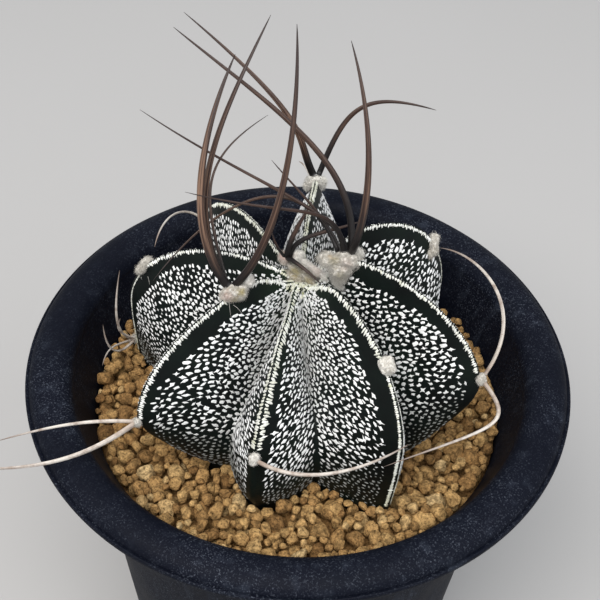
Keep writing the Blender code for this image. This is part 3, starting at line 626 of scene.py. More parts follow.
def turned(outline, steps):
    """Points and faces of a turned body, from (radius, height) points that start and end on the axis."""
    ring = np.linspace(0, math.tau, steps, endpoint=False)
    circle = np.stack([np.cos(ring), np.sin(ring)], axis=1)
    inner = outline[1:-1]
    points = [np.column_stack([circle * r, np.full(steps, z)]) for r, z in inner]
    points = np.concatenate([*points, [[0, 0, outline[0][1]]], [[0, 0, outline[-1][1]]]])
    faces = [f[::-1] for f in grid_faces(len(inner), steps)]
    faces += [(a, c, b) for a, b, c in end_fans(len(inner), steps)]
    return points, faces


def build_pot(mat):
    under, over = LIP
    inner, outer = RIM_HOLLOW
    crest = (RIM_CREST_RADIUS, under)
    roll = RIM_TOP - under
    wall = [(BASE_RADIUS + (BODY_TOP_RADIUS - BASE_RADIUS) * t, BASE_ROUND + (BODY_TOP - BASE_ROUND) * t)
            for t in np.linspace(0, 1, 24)]
    inside = [(INSIDE_TOP_RADIUS + (INSIDE_FLOOR_RADIUS - INSIDE_TOP_RADIUS) * t,
               SOIL + (FLOOR_TOP + FLOOR_CHAMFER - SOIL) * t) for t in np.linspace(0, 1, 12)]
    outline = [
        (0, 0), (HUB_RADIUS - 0.4, 0), (HUB_RADIUS, 0.2), (HUB_RADIUS + 0.5, RECESS),
        (FOOT_RING[0] - 0.5, RECESS), (FOOT_RING[0], 0.2), (FOOT_RING[0] + 0.3, 0),
        (FOOT_RING[1] - 0.3, 0), (FOOT_RING[1], 0.1), *wall,
        (FLARE[0] - 0.7, FLARE[1] - 2.0), FLARE, (FLARE[0] + 0.9, FLARE[1] + 1.7),
        *arc(crest, inner, inner, 180, 90, 8), *list(arc(crest, outer, inner, 90, 0, 8))[1:],
        (RIM_RADIUS - LIP_BEVEL, under), (RIM_RADIUS - 0.1, under + 0.1), (RIM_RADIUS, under + LIP_BEVEL),
        (RIM_RADIUS, over - LIP_BEVEL), (RIM_RADIUS - 0.1, over - 0.1), (RIM_RADIUS - LIP_BEVEL, over),
        (GROOVE[0] + 0.1, GROOVE[1] + 0.02),
        *arc((RIM_CREST_RADIUS, GROOVE[1]), GROOVE[0] - RIM_CREST_RADIUS, RIM_TOP - GROOVE[1], 0, 90, 18),
        *list(arc(crest, roll, roll, 90, 180, 14))[1:],
        *inside, (INSIDE_FLOOR_RADIUS - 0.5, FLOOR_TOP + 0.4),
        (INSIDE_FLOOR_RADIUS - FLOOR_CHAMFER, FLOOR_TOP), (0, FLOOR_TOP),
    ]
    points, faces = turned(outline, POT_SIDES)
    pot = piece("pot_shell", points, faces, mat, "pot_plastic", ["pot"])
    drills = bpy.data.objects.new("drills", drill_mesh())
    show(drills)
    cut = pot.modifiers.new("drain", "BOOLEAN")
    cut.operation = "DIFFERENCE"
    cut.object = drills
    made = bpy.data.meshes.new_from_object(pot.evaluated_get(bpy.context.evaluated_depsgraph_get()))
    pot.modifiers.clear()
    pot.data = made
    made.set_sharp_from_angle(angle=math.radians(40))
    bpy.data.objects.remove(drills)


def drill_mesh():
    bm = bmesh.new()
    for i in range(DRAIN_HOLES):
        a = math.tau * i / DRAIN_HOLES
        place = Matrix.Translation(Vector((DRAIN_CIRCLE * math.cos(a), DRAIN_CIRCLE * math.sin(a),
                                           FLOOR_TOP / 2)) * MM)
        bmesh.ops.create_cone(bm, cap_ends=True, segments=32, radius1=DRAIN_RADIUS * MM,
                              radius2=DRAIN_RADIUS * MM, depth=3 * FLOOR_TOP * MM, matrix=place)
    mesh = bpy.data.meshes.new("drills")
    bm.to_mesh(mesh)
    bm.free()
    return mesh


# The stem

def axis_point(radius):
    """Where the stem's leaning axis stands, for a point of the skin this far from it."""
    return CROWN_POINT + (STEM_BASE - CROWN_POINT) * ease(radius / LEAN_RADIUS)


def outward(azimuth):
    a = math.radians(azimuth)
    return np.array([math.cos(a), math.sin(a)])


def crest_point(rib, place):
    """A point of a rib's edge: 0 is the crown, 1 its top, 2 its widest line, 3 the gravel."""
    if place <= 1:
        radius = CROWN_RADIUS + (RIB_TOP_RADIUS - CROWN_RADIUS) * place
        height = CROWN_HEIGHT + (rib.top - CROWN_HEIGHT) * math.sin(place * math.pi / 2)
    elif place <= 2:
        turn = (place - 1) * math.pi / 2
        radius = RIB_TOP_RADIUS + (rib.reach - RIB_TOP_RADIUS) * math.sin(turn)
        height = rib.waist + (rib.top - rib.waist) * math.cos(turn)
    else:
        drop = place - 2
        radius = rib.foot + (rib.reach - rib.foot) * (1 - drop ** 1.5)
        height = rib.waist + (SOIL - rib.waist) * drop
    flat = axis_point(radius) + radius * outward(rib.azimuth)
    return np.array([*flat, height])


def furrow_point(left, right, place):
    """A point of the furrow between two neighbouring ribs, at the same places as their edges."""
    gap = (right.azimuth - left.azimuth) % 360
    spot = place / 3 * (len(FURROW) - 1)
    i = min(int(spot), len(FURROW) - 2)
    part = spot - i
    near = [np.array(FURROW[min(max(k, 0), len(FURROW) - 1)]) for k in (i - 1, i, i + 1, i + 2)]
    bend = 0.5 * ((near[2] - near[0]) * part
                  + (2 * near[0] - 5 * near[1] + 4 * near[2] - near[3]) * part ** 2
                  + (3 * near[1] - near[0] - 3 * near[2] + near[3]) * part ** 3)
    radius, height = near[1] + bend
    even = 360 / len(RIBS)
    radius *= 1 - FURROW_NARROWING * (gap - even) * ease(radius / RIB_TOP_RADIUS)
    flat = axis_point(radius) + radius * outward(left.azimuth + gap / 2)
    return np.array([*flat, height])


def stem_places():
    places = [0.0]
    for stage, rows in enumerate(ROWS):
        places += [stage + (i + 1) / rows for i in range(rows)]
    return np.array(places)


class Flank:
    """One side of a rib: a grid of points from the crest (column 0) to the furrow, row by row."""

    def __init__(self, azimuth, crest, furrow, side, places):
        self.azimuth, self.side, self.places, self.crest = azimuth, side, places, crest
        chord = furrow - crest
        self.length = np.linalg.norm(chord, axis=1)
        length = self.length[:, None]
        down = np.gradient((crest + furrow) / 2, axis=0)
        normal = unit(np.cross(down, chord) * side)
        from_crown = np.hypot(*(crest[:, :2] - CROWN_POINT).T)[:, None]
        ahead = furrow[:, :2] - CROWN_POINT
        out = crest[:, :2] - CROWN_POINT
        spacing = np.abs(out[:, 0] * ahead[:, 1] - out[:, 1] * ahead[:, 0])[:, None]
        spacing /= np.linalg.norm(ahead, axis=1, keepdims=True)
        full = np.minimum(FLANK_BULGE * np.minimum(1, length / BULGE_LENGTH), BULGE_SHARE * spacing)
        edge = np.minimum(CREST_HALF_WIDTH, CREST_TAPER * from_crown) / length
        columns = []
        for j in range(FLANK_COLUMNS + 1):
            share = edge + (1 - edge) * j / FLANK_COLUMNS
            columns.append(crest + chord * share + normal * full * 4 * share * (1 - share))
        self.grid = np.stack(columns, axis=1)
        self.run = run_along(self.grid[:, FLANK_COLUMNS // 2])
        self.normals = self.find_normals()

    def find_normals(self):
        along = np.gradient(self.grid, axis=0)
        across = np.gradient(self.grid, axis=1)
        return unit(np.cross(along, across) * self.side)

    def at(self, place, share):
        """Points, normals, and directions towards the crest and down, for arrays of places and shares."""
        row = np.interp(place, self.places, np.arange(len(self.places)))
        column = np.clip(share, 0, 1) * FLANK_COLUMNS
        i = np.clip(row.astype(int), 0, len(self.places) - 2)
        j = np.clip(column.astype(int), 0, FLANK_COLUMNS - 1)
        a, b = (row - i)[:, None], (column - j)[:, None]
        g, n = self.grid, self.normals
        point = (g[i, j] * (1 - a) * (1 - b) + g[i + 1, j] * a * (1 - b)
                 + g[i, j + 1] * (1 - a) * b + g[i + 1, j + 1] * a * b)
        normal = unit(n[i, j] * (1 - a) * (1 - b) + n[i + 1, j] * a * (1 - b)
                      + n[i, j + 1] * (1 - a) * b + n[i + 1, j + 1] * a * b)
        to_crest = unit(g[i, j] - g[i, j + 1])
        down = unit(g[i + 1, j] - g[i, j])
        return point, normal, to_crest, down


def stem_flanks():
    """The flanks towards the previous and the next rib, by rib name."""
    places = stem_places()
    names = list(RIBS)
    flanks = {}
    for i, name in enumerate(names):
        rib, before, after = RIBS[name], RIBS[names[i - 1]], RIBS[names[(i + 1) % len(names)]]
        crest = np.array([crest_point(rib, p) for p in places])
        back = np.array([furrow_point(before, rib, p) for p in places])
        ahead = np.array([furrow_point(rib, after, p) for p in places])
        flanks[name] = (Flank(rib.azimuth, crest, back, -1, places),
                        Flank(rib.azimuth, crest, ahead, 1, places))
    return flanks


def build_skin(flanks, mat):
    blocks = []
    for left, right in flanks.values():
        blocks.append(np.concatenate([left.grid[:, :0:-1], left.grid[:, :1], left.crest[:, None],
                                      right.grid[:, :-1]], axis=1))
    rings = np.concatenate(blocks, axis=1)
    surface = rings[-1]
    centre = np.array([*STEM_BASE, 0.0])
    for height, share in ROOT:
        ring = centre + (surface - centre) * share
        ring[:, 2] = height
        if share < 0.9:
            radius = np.hypot(*(ring - centre)[:, :2].T)[:, None]
            ring[:, :2] = STEM_BASE + (ring[:, :2] - STEM_BASE) * radius.mean() / radius
        rings = np.concatenate([rings, ring[None]])
    rows, columns = rings.shape[:2]
    points = rings.reshape(-1, 3)
    faces = [*grid_faces(rows, columns), *end_fans(rows, columns)]
    middle = np.array([*CROWN_POINT, CAP_MIDDLE])
    points = np.concatenate([points, [middle], [rings[-1].mean(axis=0) - [0, 0, 0.7]]])
    from_crown = np.hypot(*(points[:, :2] - CROWN_POINT).T)
    young = 1 - ease(from_crown / YOUNG_RADIUS)
    ripple = np.array([noise.noise(Vector(p) * SKIN_RIPPLE[0]) for p in points])
    normal = unit(points - [0, 0, 92])
    points = points + normal * ripple[:, None] * SKIN_RIPPLE[1]
    return piece("stem_skin", points, faces, mat, "skin", ["stem"], young=young)


def tufts(pile, points, normals, aims, length, width, height, ragged, draw, tone):
    """Small ragged pads of hair, each a jagged leaf shape lying on the skin along its aim."""
    count, rim = len(points), 8
    side = unit(np.cross(normals, aims))
    aims = unit(np.cross(side, normals))
    turn = (np.arange(rim) + draw.uniform(-0.25, 0.25, (count, rim))) * math.tau / rim
    c, s = np.cos(turn), np.sin(turn)
    pointed = (np.abs(c) ** 1.35 + np.abs(s) ** 1.35) ** (-1 / 1.35)
    star = ragged * draw.uniform(-0.9, 0.9, (count, 1)) * (-1.0) ** np.arange(rim)
    reach = pointed * (1 + star + 0.75 * draw.uniform(-ragged, ragged, (count, rim)))
    x = c * reach * length[:, None] / 2
    y = s * reach * width[:, None] / 2
    edge = (points[:, None] + aims[:, None] * x[..., None] + side[:, None] * y[..., None]
            - normals[:, None] * 0.02)
    lean = draw.uniform(-0.15, 0.25, (count, 1)) * length[:, None] / 2
    top = points + aims * lean + normals * height[:, None]
    low = points - normals * 0.15
    body = np.concatenate([edge, top[:, None], low[:, None]], axis=1)
    ring = [(k, (k + 1) % rim) for k in range(rim)]
    cell = np.array([(a, b, rim) for a, b in ring] + [(b, a, rim + 1) for a, b in ring])
    faces = (np.arange(count)[:, None, None] * (rim + 2) + cell[None]).reshape(-1, 3)
    pile.add(body.reshape(-1, 3), faces.tolist(), tone=np.repeat(tone, rim + 2))


def fleck_spots(flank, cover, merged, lines, aside, draw):
    """Places and shares tried at random over a flank, with the clear skin that each fleck keeps."""
    width = flank.length.max()
    tries = int(flank.run[-1] * width * FLECK_TRIES)
    place = np.interp(draw.uniform(0.5, flank.run[-1] - 0.4, tries), flank.run, flank.places)
    length = np.interp(place, flank.places, flank.length)
    from_furrow = draw.uniform(0, width, tries)
    share = 1 - from_furrow / length
    wave = np.array([noise.noise(Vector((p * 3.2, flank.side * 7.0, flank.azimuth))) for p in place])
    bare = np.interp(place, BARE_PLACES, cover.bare) * (1 + 0.45 * wave) * ease(place / 0.9)
    near, far = 0.0, np.interp(place, FURROW_CLEAR_PLACES, FURROW_CLEAR)
    if aside:
        near, far = aside[0], np.interp(place, FURROW_CLEAR_PLACES, (aside[0], aside[1], aside[1]))
    kept = (from_furrow < length - CREST_HALF_WIDTH - bare) & ((from_furrow < near) | (from_furrow > far))
    for low, high in lines:
        line = high + (low - high) * share
        gap = np.abs(np.interp(place, flank.places, flank.run) - np.interp(line, flank.places, flank.run))
        kept &= (gap > GROWTH_LINE_WIDTH * (1 + 1.4 * wave)) | (share > 0.85)
    part = ease((merged - place) / 0.45 + (share - 0.55) * 1.6)
    open_gap = np.interp(place, BARE_PLACES, cover.gap)
    return place[kept], share[kept], (open_gap + (MERGED_GAP - open_gap) * part)[kept]


def fleck_flank(pile, flank, cover, merged, lines, aside, draw):
    """Flecks thrown at random on a flank, from the crown down, kept where they clear the others."""
    place, share, gap = fleck_spots(flank, cover, merged, lines, aside, draw)
    count = len(place)
    point, normal, to_crest, down = flank.at(place, share)
    slant = np.interp(place, [0, 0.7, 1.5, 2.2], [80, 62, 0.6 * cover.slant + 16, cover.slant])
    slant += cover.twist * (0.5 - share) * ease((place - 0.9) / 0.8)
    slant = np.radians(slant + draw.normal(0, 8 + 20 * cover.ragged, count))
    aims = to_crest * np.cos(slant)[:, None] + down * np.sin(slant)[:, None]
    side = unit(np.cross(normal, aims))
    # Low on the flank the flecks age: they shrink and stand further apart. Their darkening there is partly
    # painted shade near the gravel.
    aged_and_shaded = ease((place - cover.fade) / 0.4)
    gap = gap + 0.07 * aged_and_shaded
    near_furrow = ease((share - 0.45) / 0.5)
    size = cover.size * draw.uniform(0.75, 1.18, count) * (1 - 0.42 * aged_and_shaded) * (1 + 0.20 * near_furrow)
    size *= np.interp(place, [0, 0.5], [0.8, 1.0])
    breadth = size * (cover.slim * draw.uniform(0.85, 1.2, count) + 0.10 * aged_and_shaded)
    run = np.interp(place, flank.places, flank.run)
    spots, kept = np.zeros((count, 3)), []
    for i in np.argsort(run + draw.normal(0, 0.12, count)):
        away = spots[max(0, len(kept) - FLECK_NEIGHBOURS):len(kept)] - point[i]
        lengthwise = away @ aims[i] / (size[i] + gap[i])
        crosswise = away @ side[i] / (breadth[i] + gap[i])
        if (lengthwise ** 2 + crosswise ** 2 < 1).any():
            continue
        spots[len(kept)] = point[i]
        kept.append(i)
    k = np.array(kept)
    merging = ease(0.5 - gap * 4)
    # Low flecks go dull, partly as painted shade near the gravel.
    tone = draw.normal(0.94, 0.08, count) - merging * np.abs(draw.normal(0, 0.14, count)) - 0.84 * aged_and_shaded
    tone = np.clip(tone, 0.05, 1)
    tufts(pile, point[k], normal[k], aims[k], size[k] * 1.12, breadth[k] * 1.15, 0.06 + 0.06 * size[k],
          cover.ragged, draw, tone[k])


def build_flecks(flanks, mat):
    draw = np.random.default_rng(5)
    for half, names in (("front", ("front_left", "front", "front_right", "right")),
                        ("back", ("back_right", "back", "back_left", "left"))):
        pile = Pile()
        for name in names:
            for i, (flank, cover) in enumerate(zip(flanks[name], COVER[name])):
                lines = [line[2:] for line in GROWTH_LINES if line[:2] == (name, i)]
                merged = MERGED.get((name, i), MERGED_ELSEWHERE)
                fleck_flank(pile, flank, cover, merged, lines, FURROW_ASIDE.get((name, i)), draw)
        pile.piece("flecks_" + half, mat, "flecks", crease=75)


def comb_row(pile, flank, comb, draw):
    """One row of scales, from the crown to the comb's end, and the beads that go on below it."""
    run = run_along(flank.crest)
    end = np.interp(comb.end, flank.places, run)
    beads = comb.beads[flank.side > 0]
    spots = np.arange(0.4, end, comb.pitch)
    lengths = comb.length * draw.uniform(0.70, 1.18, len(spots))
    widths = comb.pitch * draw.uniform(0.85, 1.15, len(spots))
    if beads:
        more = np.arange(end, run[-1] - 1.0, BEAD_PITCH)
        spots = np.concatenate([spots, more])
        lengths = np.concatenate([lengths, beads * draw.uniform(0.7, 1.3, len(more))])
        widths = np.concatenate([widths, draw.uniform(0.40, 0.62, len(more))])
    spots = spots + draw.uniform(-0.08, 0.08, len(spots))
    place = np.interp(spots, run, flank.places)
    point, normal, _, down = flank.at(place, np.zeros(len(spots)))
    crest = np.stack([np.interp(spots, run, flank.crest[:, k]) for k in range(3)], axis=1)
    way = unit(point - crest)
    face = np.cross(down, way)
    face = unit(face * np.sign((face * normal).sum(axis=1, keepdims=True)))
    below = spots > end
    reach = np.where(below, 0.62, 0.07 + lengths / 2)
    middle = crest + way * reach[:, None]
    lean = draw.normal(0.12, 0.20, len(spots))[:, None]
    height = np.where(below, 0.12 + 0.15 * beads, draw.uniform(0.18, 0.34, len(spots)))
    # The scales darken towards the gravel, partly as painted shade low down by the gravel.
    aged_and_shaded = ease((place - 2.2) / 0.6)
    tone = np.where(below, comb.bead_tone, comb.white) + draw.normal(0, 0.12, len(spots)) - 0.3 * aged_and_shaded
    tufts(pile, middle, face, unit(way + down * lean), lengths, widths, height, 0.26, draw,
          np.clip(tone, 0, 1))


def crown_scales(pile, draw):
    """Scales that carry on each rib's rows to the middle of the crown, with flecks between."""
    points, aims = [], []
    for rib in RIBS.values():
        out = np.array([*outward(rib.azimuth), 0.0])
        side = np.array([-out[1], out[0], 0.0])
        for radius in np.arange(0.8, CROWN_RADIUS + 0.2, 0.45):
            for way in (-1, 1):
                here = [*CROWN_POINT, crown_height(radius, 0.15)]
                points.append(here + out * radius + side * way * 0.42)
                aims.append(side * way + out * 0.2)
    azimuths = np.array([rib.azimuth for rib in RIBS.values()])
    spread = draw.uniform(0, 360, CAP_FLECKS), CROWN_RADIUS * np.sqrt(draw.uniform(0.02, 1.1, CAP_FLECKS))
    for azimuth, radius in zip(*spread):
        away = np.abs((azimuths - azimuth + 180) % 360 - 180).min() / 22.5
        out = np.array([*outward(azimuth), 0.0])
        points.append([*CROWN_POINT, crown_height(radius, away)] + out * radius)
        aims.append(out + draw.normal(0, 0.4, 3) * [1, 1, 0])
    points, aims = np.array(points), unit(np.array(aims))
    count = len(points)
    up = np.tile([0.0, 0.0, 1.0], (count, 1))
    tufts(pile, points, up, aims, draw.uniform(0.7, 1.15, count), draw.uniform(0.45, 0.7, count),
          draw.uniform(0.12, 0.28, count), 0.28, draw, np.clip(draw.normal(0.50, 0.20, count), 0, 1))


def crown_height(radius, away):
    """Height of the crown's cap: away is 0 on the line of a rib's edge and 1 on that of a furrow."""
    rim = CROWN_HEIGHT + (FURROW[0][1] - CROWN_HEIGHT) * min(away, 1)
    return CAP_MIDDLE + (rim - CAP_MIDDLE) * min(radius / CROWN_RADIUS, 1) + 0.05


def build_scales(flanks, mat):
    """Two rows of comb-like scales along each rib's edge."""
    draw = np.random.default_rng(6)
    pile = Pile()
    crown_scales(pile, draw)
    for name, pair in flanks.items():
        for flank in pair:
            comb_row(pile, flank, COMBS[name], draw)
    pile.piece("crest_scales", mat, "flecks", crease=75)


# The wool

def cut_size(ball, cuts, far, sharp, most):
    """How far each point of a ball stands out after it is cut by planes, with edges this sharp."""
    facing = ball @ cuts.T
    reach = np.where(facing > 0.05, far / np.maximum(facing, 0.05), 9.0)
    return -np.log(np.exp(-reach * sharp).sum(axis=1) + math.exp(-sharp * most)) / sharp


def noise_on(points, scale, offset):
    return np.array([noise.noise(Vector(p * scale + offset)) for p in points])


def crest_frame(rib, place):
    """The point of a crest, and the directions across it, along it and out of it."""
    here = crest_point(rib, place)
    along = unit(crest_point(rib, place + 0.03) - crest_point(rib, place - 0.03))
    across = np.array([*outward(rib.azimuth + 90), 0.0])
    out = unit(np.cross(across, along))
    if out[2] + out[:2] @ outward(rib.azimuth) < 0:
        across, out = -across, -out
    return here, (across, along, out)


def drop_frame():
    """The middle and axes of the smooth drop."""
    rib, place, lift = DROP
    here, axes = crest_frame(RIBS[rib], place)
    return here + axes[2] * lift, np.array(axes)


def turned_axes(angle):
    a = math.radians(angle)
    right, up, front = LUMP_AXES
    return np.array([right * math.cos(a) + up * math.sin(a),
                     up * math.cos(a) - right * math.sin(a), front])


def strands(pile, roots, firsts, tips, radius, tone, stains=(), rings=4):
    """Fine tapering hairs on bent lines from roots past firsts to tips."""
    sides = 3
    t = np.linspace(0, 1, rings)[None, :, None]
    path = roots[:, None] * (1 - t) ** 2 + firsts[:, None] * 2 * t * (1 - t) + tips[:, None] * t ** 2
    ahead = unit(np.gradient(path, axis=1))
    helper = np.where(np.abs(ahead[..., 2:3]) > 0.8, [1.0, 0, 0], [0, 0, 1.0])
    side = unit(np.cross(ahead, helper))
    other = np.cross(ahead, side)
    size = (radius[:, None] * (1 - 0.85 * t[..., 0] ** 1.5))[..., None]
    turn = np.arange(sides) * math.tau / sides
    body = (path[:, :, None] + side[:, :, None] * np.cos(turn)[:, None] * size[:, :, None]
            + other[:, :, None] * np.sin(turn)[:, None] * size[:, :, None])
    cell = grid_faces(rings, sides)
    cell = np.array([(f[0], f[3], f[2], f[1]) for f in cell])
    caps = np.array([(2, 1, 0), tuple(np.arange(3) + sides * (rings - 1))])
    count = len(roots)
    shift = np.arange(count)[:, None, None] * rings * sides
    faces = (shift + cell[None]).reshape(-1, 4).tolist() + (shift + caps[None]).reshape(-1, 3).tolist()
    body = body.reshape(-1, 3)
    pile.add(body, faces, tone=np.repeat(tone, rings * sides), **stain_values(body, stains))


def felt(pile, middle, axes, sizes, count, long, comb, draw, tone, stains=()):
    """A felted lump and the short hairs that lie on it, combed one way, with stains by place."""
    ball, faces = unit_ball(5 if max(sizes) > 1.85 else 4)
    cuts = unit(draw.normal(0, 1, (LUMP_CUTS, 3)))
    size = cut_size(ball, cuts, draw.uniform(0.74, 1.0, LUMP_CUTS), 8.0, 1.0)
    offset = draw.uniform(0, 50, 3)
    lumps, tufted, fibre = (noise_on(ball, scale, offset) for scale in (1.9, 5.0, 14.0))
    shape = ball * (size * (1 + 0.20 * lumps + 0.10 * tufted + 0.05 * fibre))[:, None]
    skin = (shape * sizes) @ axes + middle
    out = unit((ball / sizes) @ axes)
    values = stain_values(skin, stains, 0.35 * tufted)
    pile.add(skin, faces, tone=np.clip(tone + 0.5 * tufted + 0.6 * fibre, 0, 1), **values)
    pick = draw.integers(len(ball), size=count)
    stray = draw.normal(0, 0.55, (count, 3)) + np.array(comb)
    lie = unit(stray - out[pick] * (stray * out[pick]).sum(axis=1, keepdims=True))
    reach = long * draw.uniform(0.4, 1.2, count)[:, None]
    roots = skin[pick] - out[pick] * 0.08
    firsts = roots + lie * reach * 0.5 + out[pick] * draw.uniform(0.08, 0.30, count)[:, None]
    tips = roots + lie * reach + out[pick] * draw.uniform(-0.25, 0.22, count)[:, None]
    strands(pile, roots, firsts, tips, draw.uniform(0.016, 0.034, count),
            np.clip(draw.normal(tone + 0.12, 0.14, count), 0, 1), stains)


def stain_values(points, stains, ripple=0.0):
    """How far each kind of stain reaches at each point: kind, middle, radius and strength."""
    values = {kind: np.zeros(len(points)) for kind in STAINS}
    for kind, middle, radius, strength in stains:
        away = np.linalg.norm(points - np.array(middle), axis=1) / radius
        values[kind] = np.maximum(values[kind], strength * (1 - ease(away * 0.8 + ripple)))
    return values


def threads(pile, lines, radius, tone):
    """Single hairs, each from its root past a bend to its tip."""
    roots, firsts, tips = (np.array([line[k] for line in lines]) for k in range(3))
    strands(pile, roots, firsts, tips, np.full(len(lines), radius), np.full(len(lines), tone), rings=9)


def stream(pile, middle, spread, ends, count, draw, tone):
    """A bundle of hairs that gather from round a middle to one of a few ends."""
    roots = middle + draw.normal(0, 1, (count, 3)) * spread
    goal = np.array(ends)[draw.integers(len(ends), size=count)] + draw.normal(0, 0.22, (count, 3))
    part = draw.uniform(0.45, 1.0, count)[:, None]
    tips = roots + (goal - roots) * part
    firsts = (roots + tips) / 2 + draw.normal(0, 0.16, (count, 3))
    firsts[:, 2] += 0.25
    strands(pile, roots, firsts, tips, draw.uniform(0.018, 0.032, count),
            np.clip(draw.normal(tone, 0.12, count), 0, 1))


def build_wool(mat):
    draw = np.random.default_rng(7)
    for name, look in TUFT_LOOKS.items():
        pile = Pile()
        for there, sizes, angle, tone in look.lumps:
            middle, axes = (np.array(there), turned_axes(angle)) if there else drop_frame()
            w, h, d = sizes
            count = int(look.hairs * (w * h + w * d + h * d) / 3)
            felt(pile, middle, axes, np.array(sizes), count, look.long, look.comb, draw, tone, look.stains)
        for gather, spread, ends, count in look.streams:
            stream(pile, np.array(gather), spread, ends, count, draw, STREAM_TONE)
        if look.threads:
            threads(pile, look.threads, *THREAD)
        pile.piece("tuft_" + name, mat, "wool", ["wool_" + name])
    for name, (place, size, tone, _) in OLD.items():
        here, axes = crest_frame(RIBS[name], place)
        pile = Pile()
        sizes = size * np.array(PAD_SHAPE)
        felt(pile, here + axes[2] * PAD_LIFT, np.array(axes), sizes, PAD_HAIRS, PAD_HAIR_LENGTH, PAD_COMB,
             draw, tone)
        pile.piece("pad_" + name, mat, "wool")


# The spines

def spine(pile, root, line, radius, draw, foot=1.0, pale=1.0):
    """One flattened horn with shallow grooves, from its root by the points of its line. It tapers to a
    needle point. A greater foot makes its dark root longer."""
    rings, sides = SPINE_RINGS, SPINE_SIDES
    first, second, tip = (np.array(point) for point in line)
    t = np.linspace(0, 1, rings)[:, None]
    path = (root * (1 - t) ** 3 + first * 3 * t * (1 - t) ** 2 + second * 3 * t * t * (1 - t)
            + tip * t ** 3)
    ahead = unit(np.gradient(path, axis=0))
    side = unit(np.cross(ahead[0], [0.3, 0.9, 0.2]))
    wide = []
    for way in ahead:
        side = unit(side - way * (side @ way))
        wide.append(side)
    wide = np.array(wide)
    thin = np.cross(ahead, wide)
    turn = np.arange(sides) * math.tau / sides
    grooves = (1 + 0.07 * np.cos(3 * turn + draw.uniform(0, 6))
               + 0.04 * np.cos(5 * turn + draw.uniform(0, 6)))
    size = radius * (1 - 0.55 * t[:, 0] ** 1.3) * np.sqrt(np.clip(1 - t[:, 0] ** 6, 0, 1))
    size = np.maximum(size, 0.03)
    a = (wide[:, None] * (np.cos(turn) * grooves)[None, :, None] * 1.12
         + thin[:, None] * (np.sin(turn) * grooves)[None, :, None] * 0.78)
    body = path[:, None] + a * size[:, None, None]
    faces = [f[::-1] for f in grid_faces(rings, sides)]
    faces.append(tuple(range(sides)))
    faces.append(tuple(range(sides * rings - 1, sides * (rings - 1) - 1, -1)))
    along = np.repeat(t[:, 0] ** foot, sides)
    around = np.tile(np.abs(turn / math.pi - 1), rings)
    pile.add(body, faces, along=along, around=around, tone=draw.uniform(0, 40), pale=pale)


def build_spines():
    draw = np.random.default_rng(8)
    brown = spine_material("brown_horn", [(0.0, (0.003, 0.002, 0.002)), (0.10, (0.008, 0.005, 0.005)),
                                          (0.28, (0.024, 0.011, 0.008)), (0.60, (0.028, 0.014, 0.011)),
                                          (0.85, (0.030, 0.019, 0.017)), (1.0, (0.020, 0.013, 0.013))],
                           (0.20, 0.12, 0.08), None, 0.42)
    grey = spine_material("grey_horn", [(0.0, (0.34, 0.27, 0.22)), (0.12, (0.50, 0.44, 0.38)),
                                        (0.70, (0.52, 0.48, 0.44)), (0.88, (0.26, 0.21, 0.18)),
                                        (1.0, (0.15, 0.11, 0.09))],
                          (0.70, 0.66, 0.60), (420.0, (0.24, 0.17, 0.13)), 0.7)
    for name, (root, bunch) in BROWN.items():
        look = BUNCHES[name]
        pile = Pile()
        for (*line, radius), pale in zip(bunch, look.pale):
            aside = np.clip(look.spread * (line[0][0] - root[0]), *ROOT_SPREAD)
            spine(pile, np.array(root) + [aside, 0, 0], line, radius, draw, look.foot, pale)
        pile.piece("horns_" + name, brown, "brown_spines", ["spines_" + name])
    for name, (place, _, _, bunch) in OLD.items():
        here, axes = crest_frame(RIBS[name], place)
        pile = Pile()
        for *line, radius in bunch:
            spine(pile, here + axes[2] * PAD_LIFT, line, radius, draw)
        pile.piece("old_horns_" + name, grey, "old_spines", ["old_spines_" + name])


# The gravel

def grain_shape(ball, draw):
    """A broken lump of fired clay: a ball cut by random planes, with a rough, pitted surface."""
    planes = unit(draw.normal(0, 1, (GRAIN_CUTS, 3)))
    size = cut_size(ball, planes, draw.uniform(0.58, 0.92, GRAIN_CUTS), 30.0, 1.08)
    offset = draw.uniform(0, 50, 3)
    rough = noise_on(ball, 2.4, offset) * 0.5 + noise_on(ball, 6.0, offset) * 0.5
    return ball * (size * (1 + 0.16 * rough) + draw.normal(0, 0.016, len(ball)))[:, None]


def random_turn(draw):
    q = unit(draw.normal(0, 1, 4))
    w, x, y, z = q
    return np.array([[1 - 2 * (y * y + z * z), 2 * (x * y - z * w), 2 * (x * z + y * w)],
                     [2 * (x * y + z * w), 1 - 2 * (x * x + z * z), 2 * (y * z - x * w)],
                     [2 * (x * z - y * w), 2 * (y * z + x * w), 1 - 2 * (x * x + y * y)]])


def stem_outline(flanks):
    """Directions and radii of the stem's outline at the gravel, round its base point."""
    outline = np.concatenate([np.concatenate([left.grid[-1, ::-1], right.grid[-1]])
                              for left, right in flanks.values()])
    east, north = (outline[:, :2] - STEM_BASE).T
    azimuths, radii = np.arctan2(north, east), np.hypot(east, north)
    order = np.argsort(azimuths)
    return azimuths[order], radii[order]


def lowest_place(size, placed, outline, draw):
    """The lowest of a few free places round the stem for a grain to rest in, or None."""
    best = None
    for _ in range(GRAIN_PLACES):
        a = draw.uniform(0, math.tau)
        r = math.sqrt(draw.uniform(GRAIN_INNER ** 2, (INSIDE_TOP_RADIUS - size) ** 2))
        x, y = r * math.cos(a), r * math.sin(a)
        east, north = x - STEM_BASE[0], y - STEM_BASE[1]
        stem = np.interp(np.arctan2(north, east), *outline, period=math.tau)
        if math.hypot(east, north) < stem + GRAIN_CLEAR * size:
            continue
        z = SOIL - GRAIN_DEPTH + size
        d = np.hypot(placed[:, 0] - x, placed[:, 1] - y)
        touch = GRAIN_TOUCH * (placed[:, 3] + size)
        near = d < touch
        if near.any():
            z = max(z, float((placed[near, 2] + np.sqrt(touch[near] ** 2 - d[near] ** 2)).max()))
        if best is None or z < best[2]:
            best = (x, y, z)
    return best


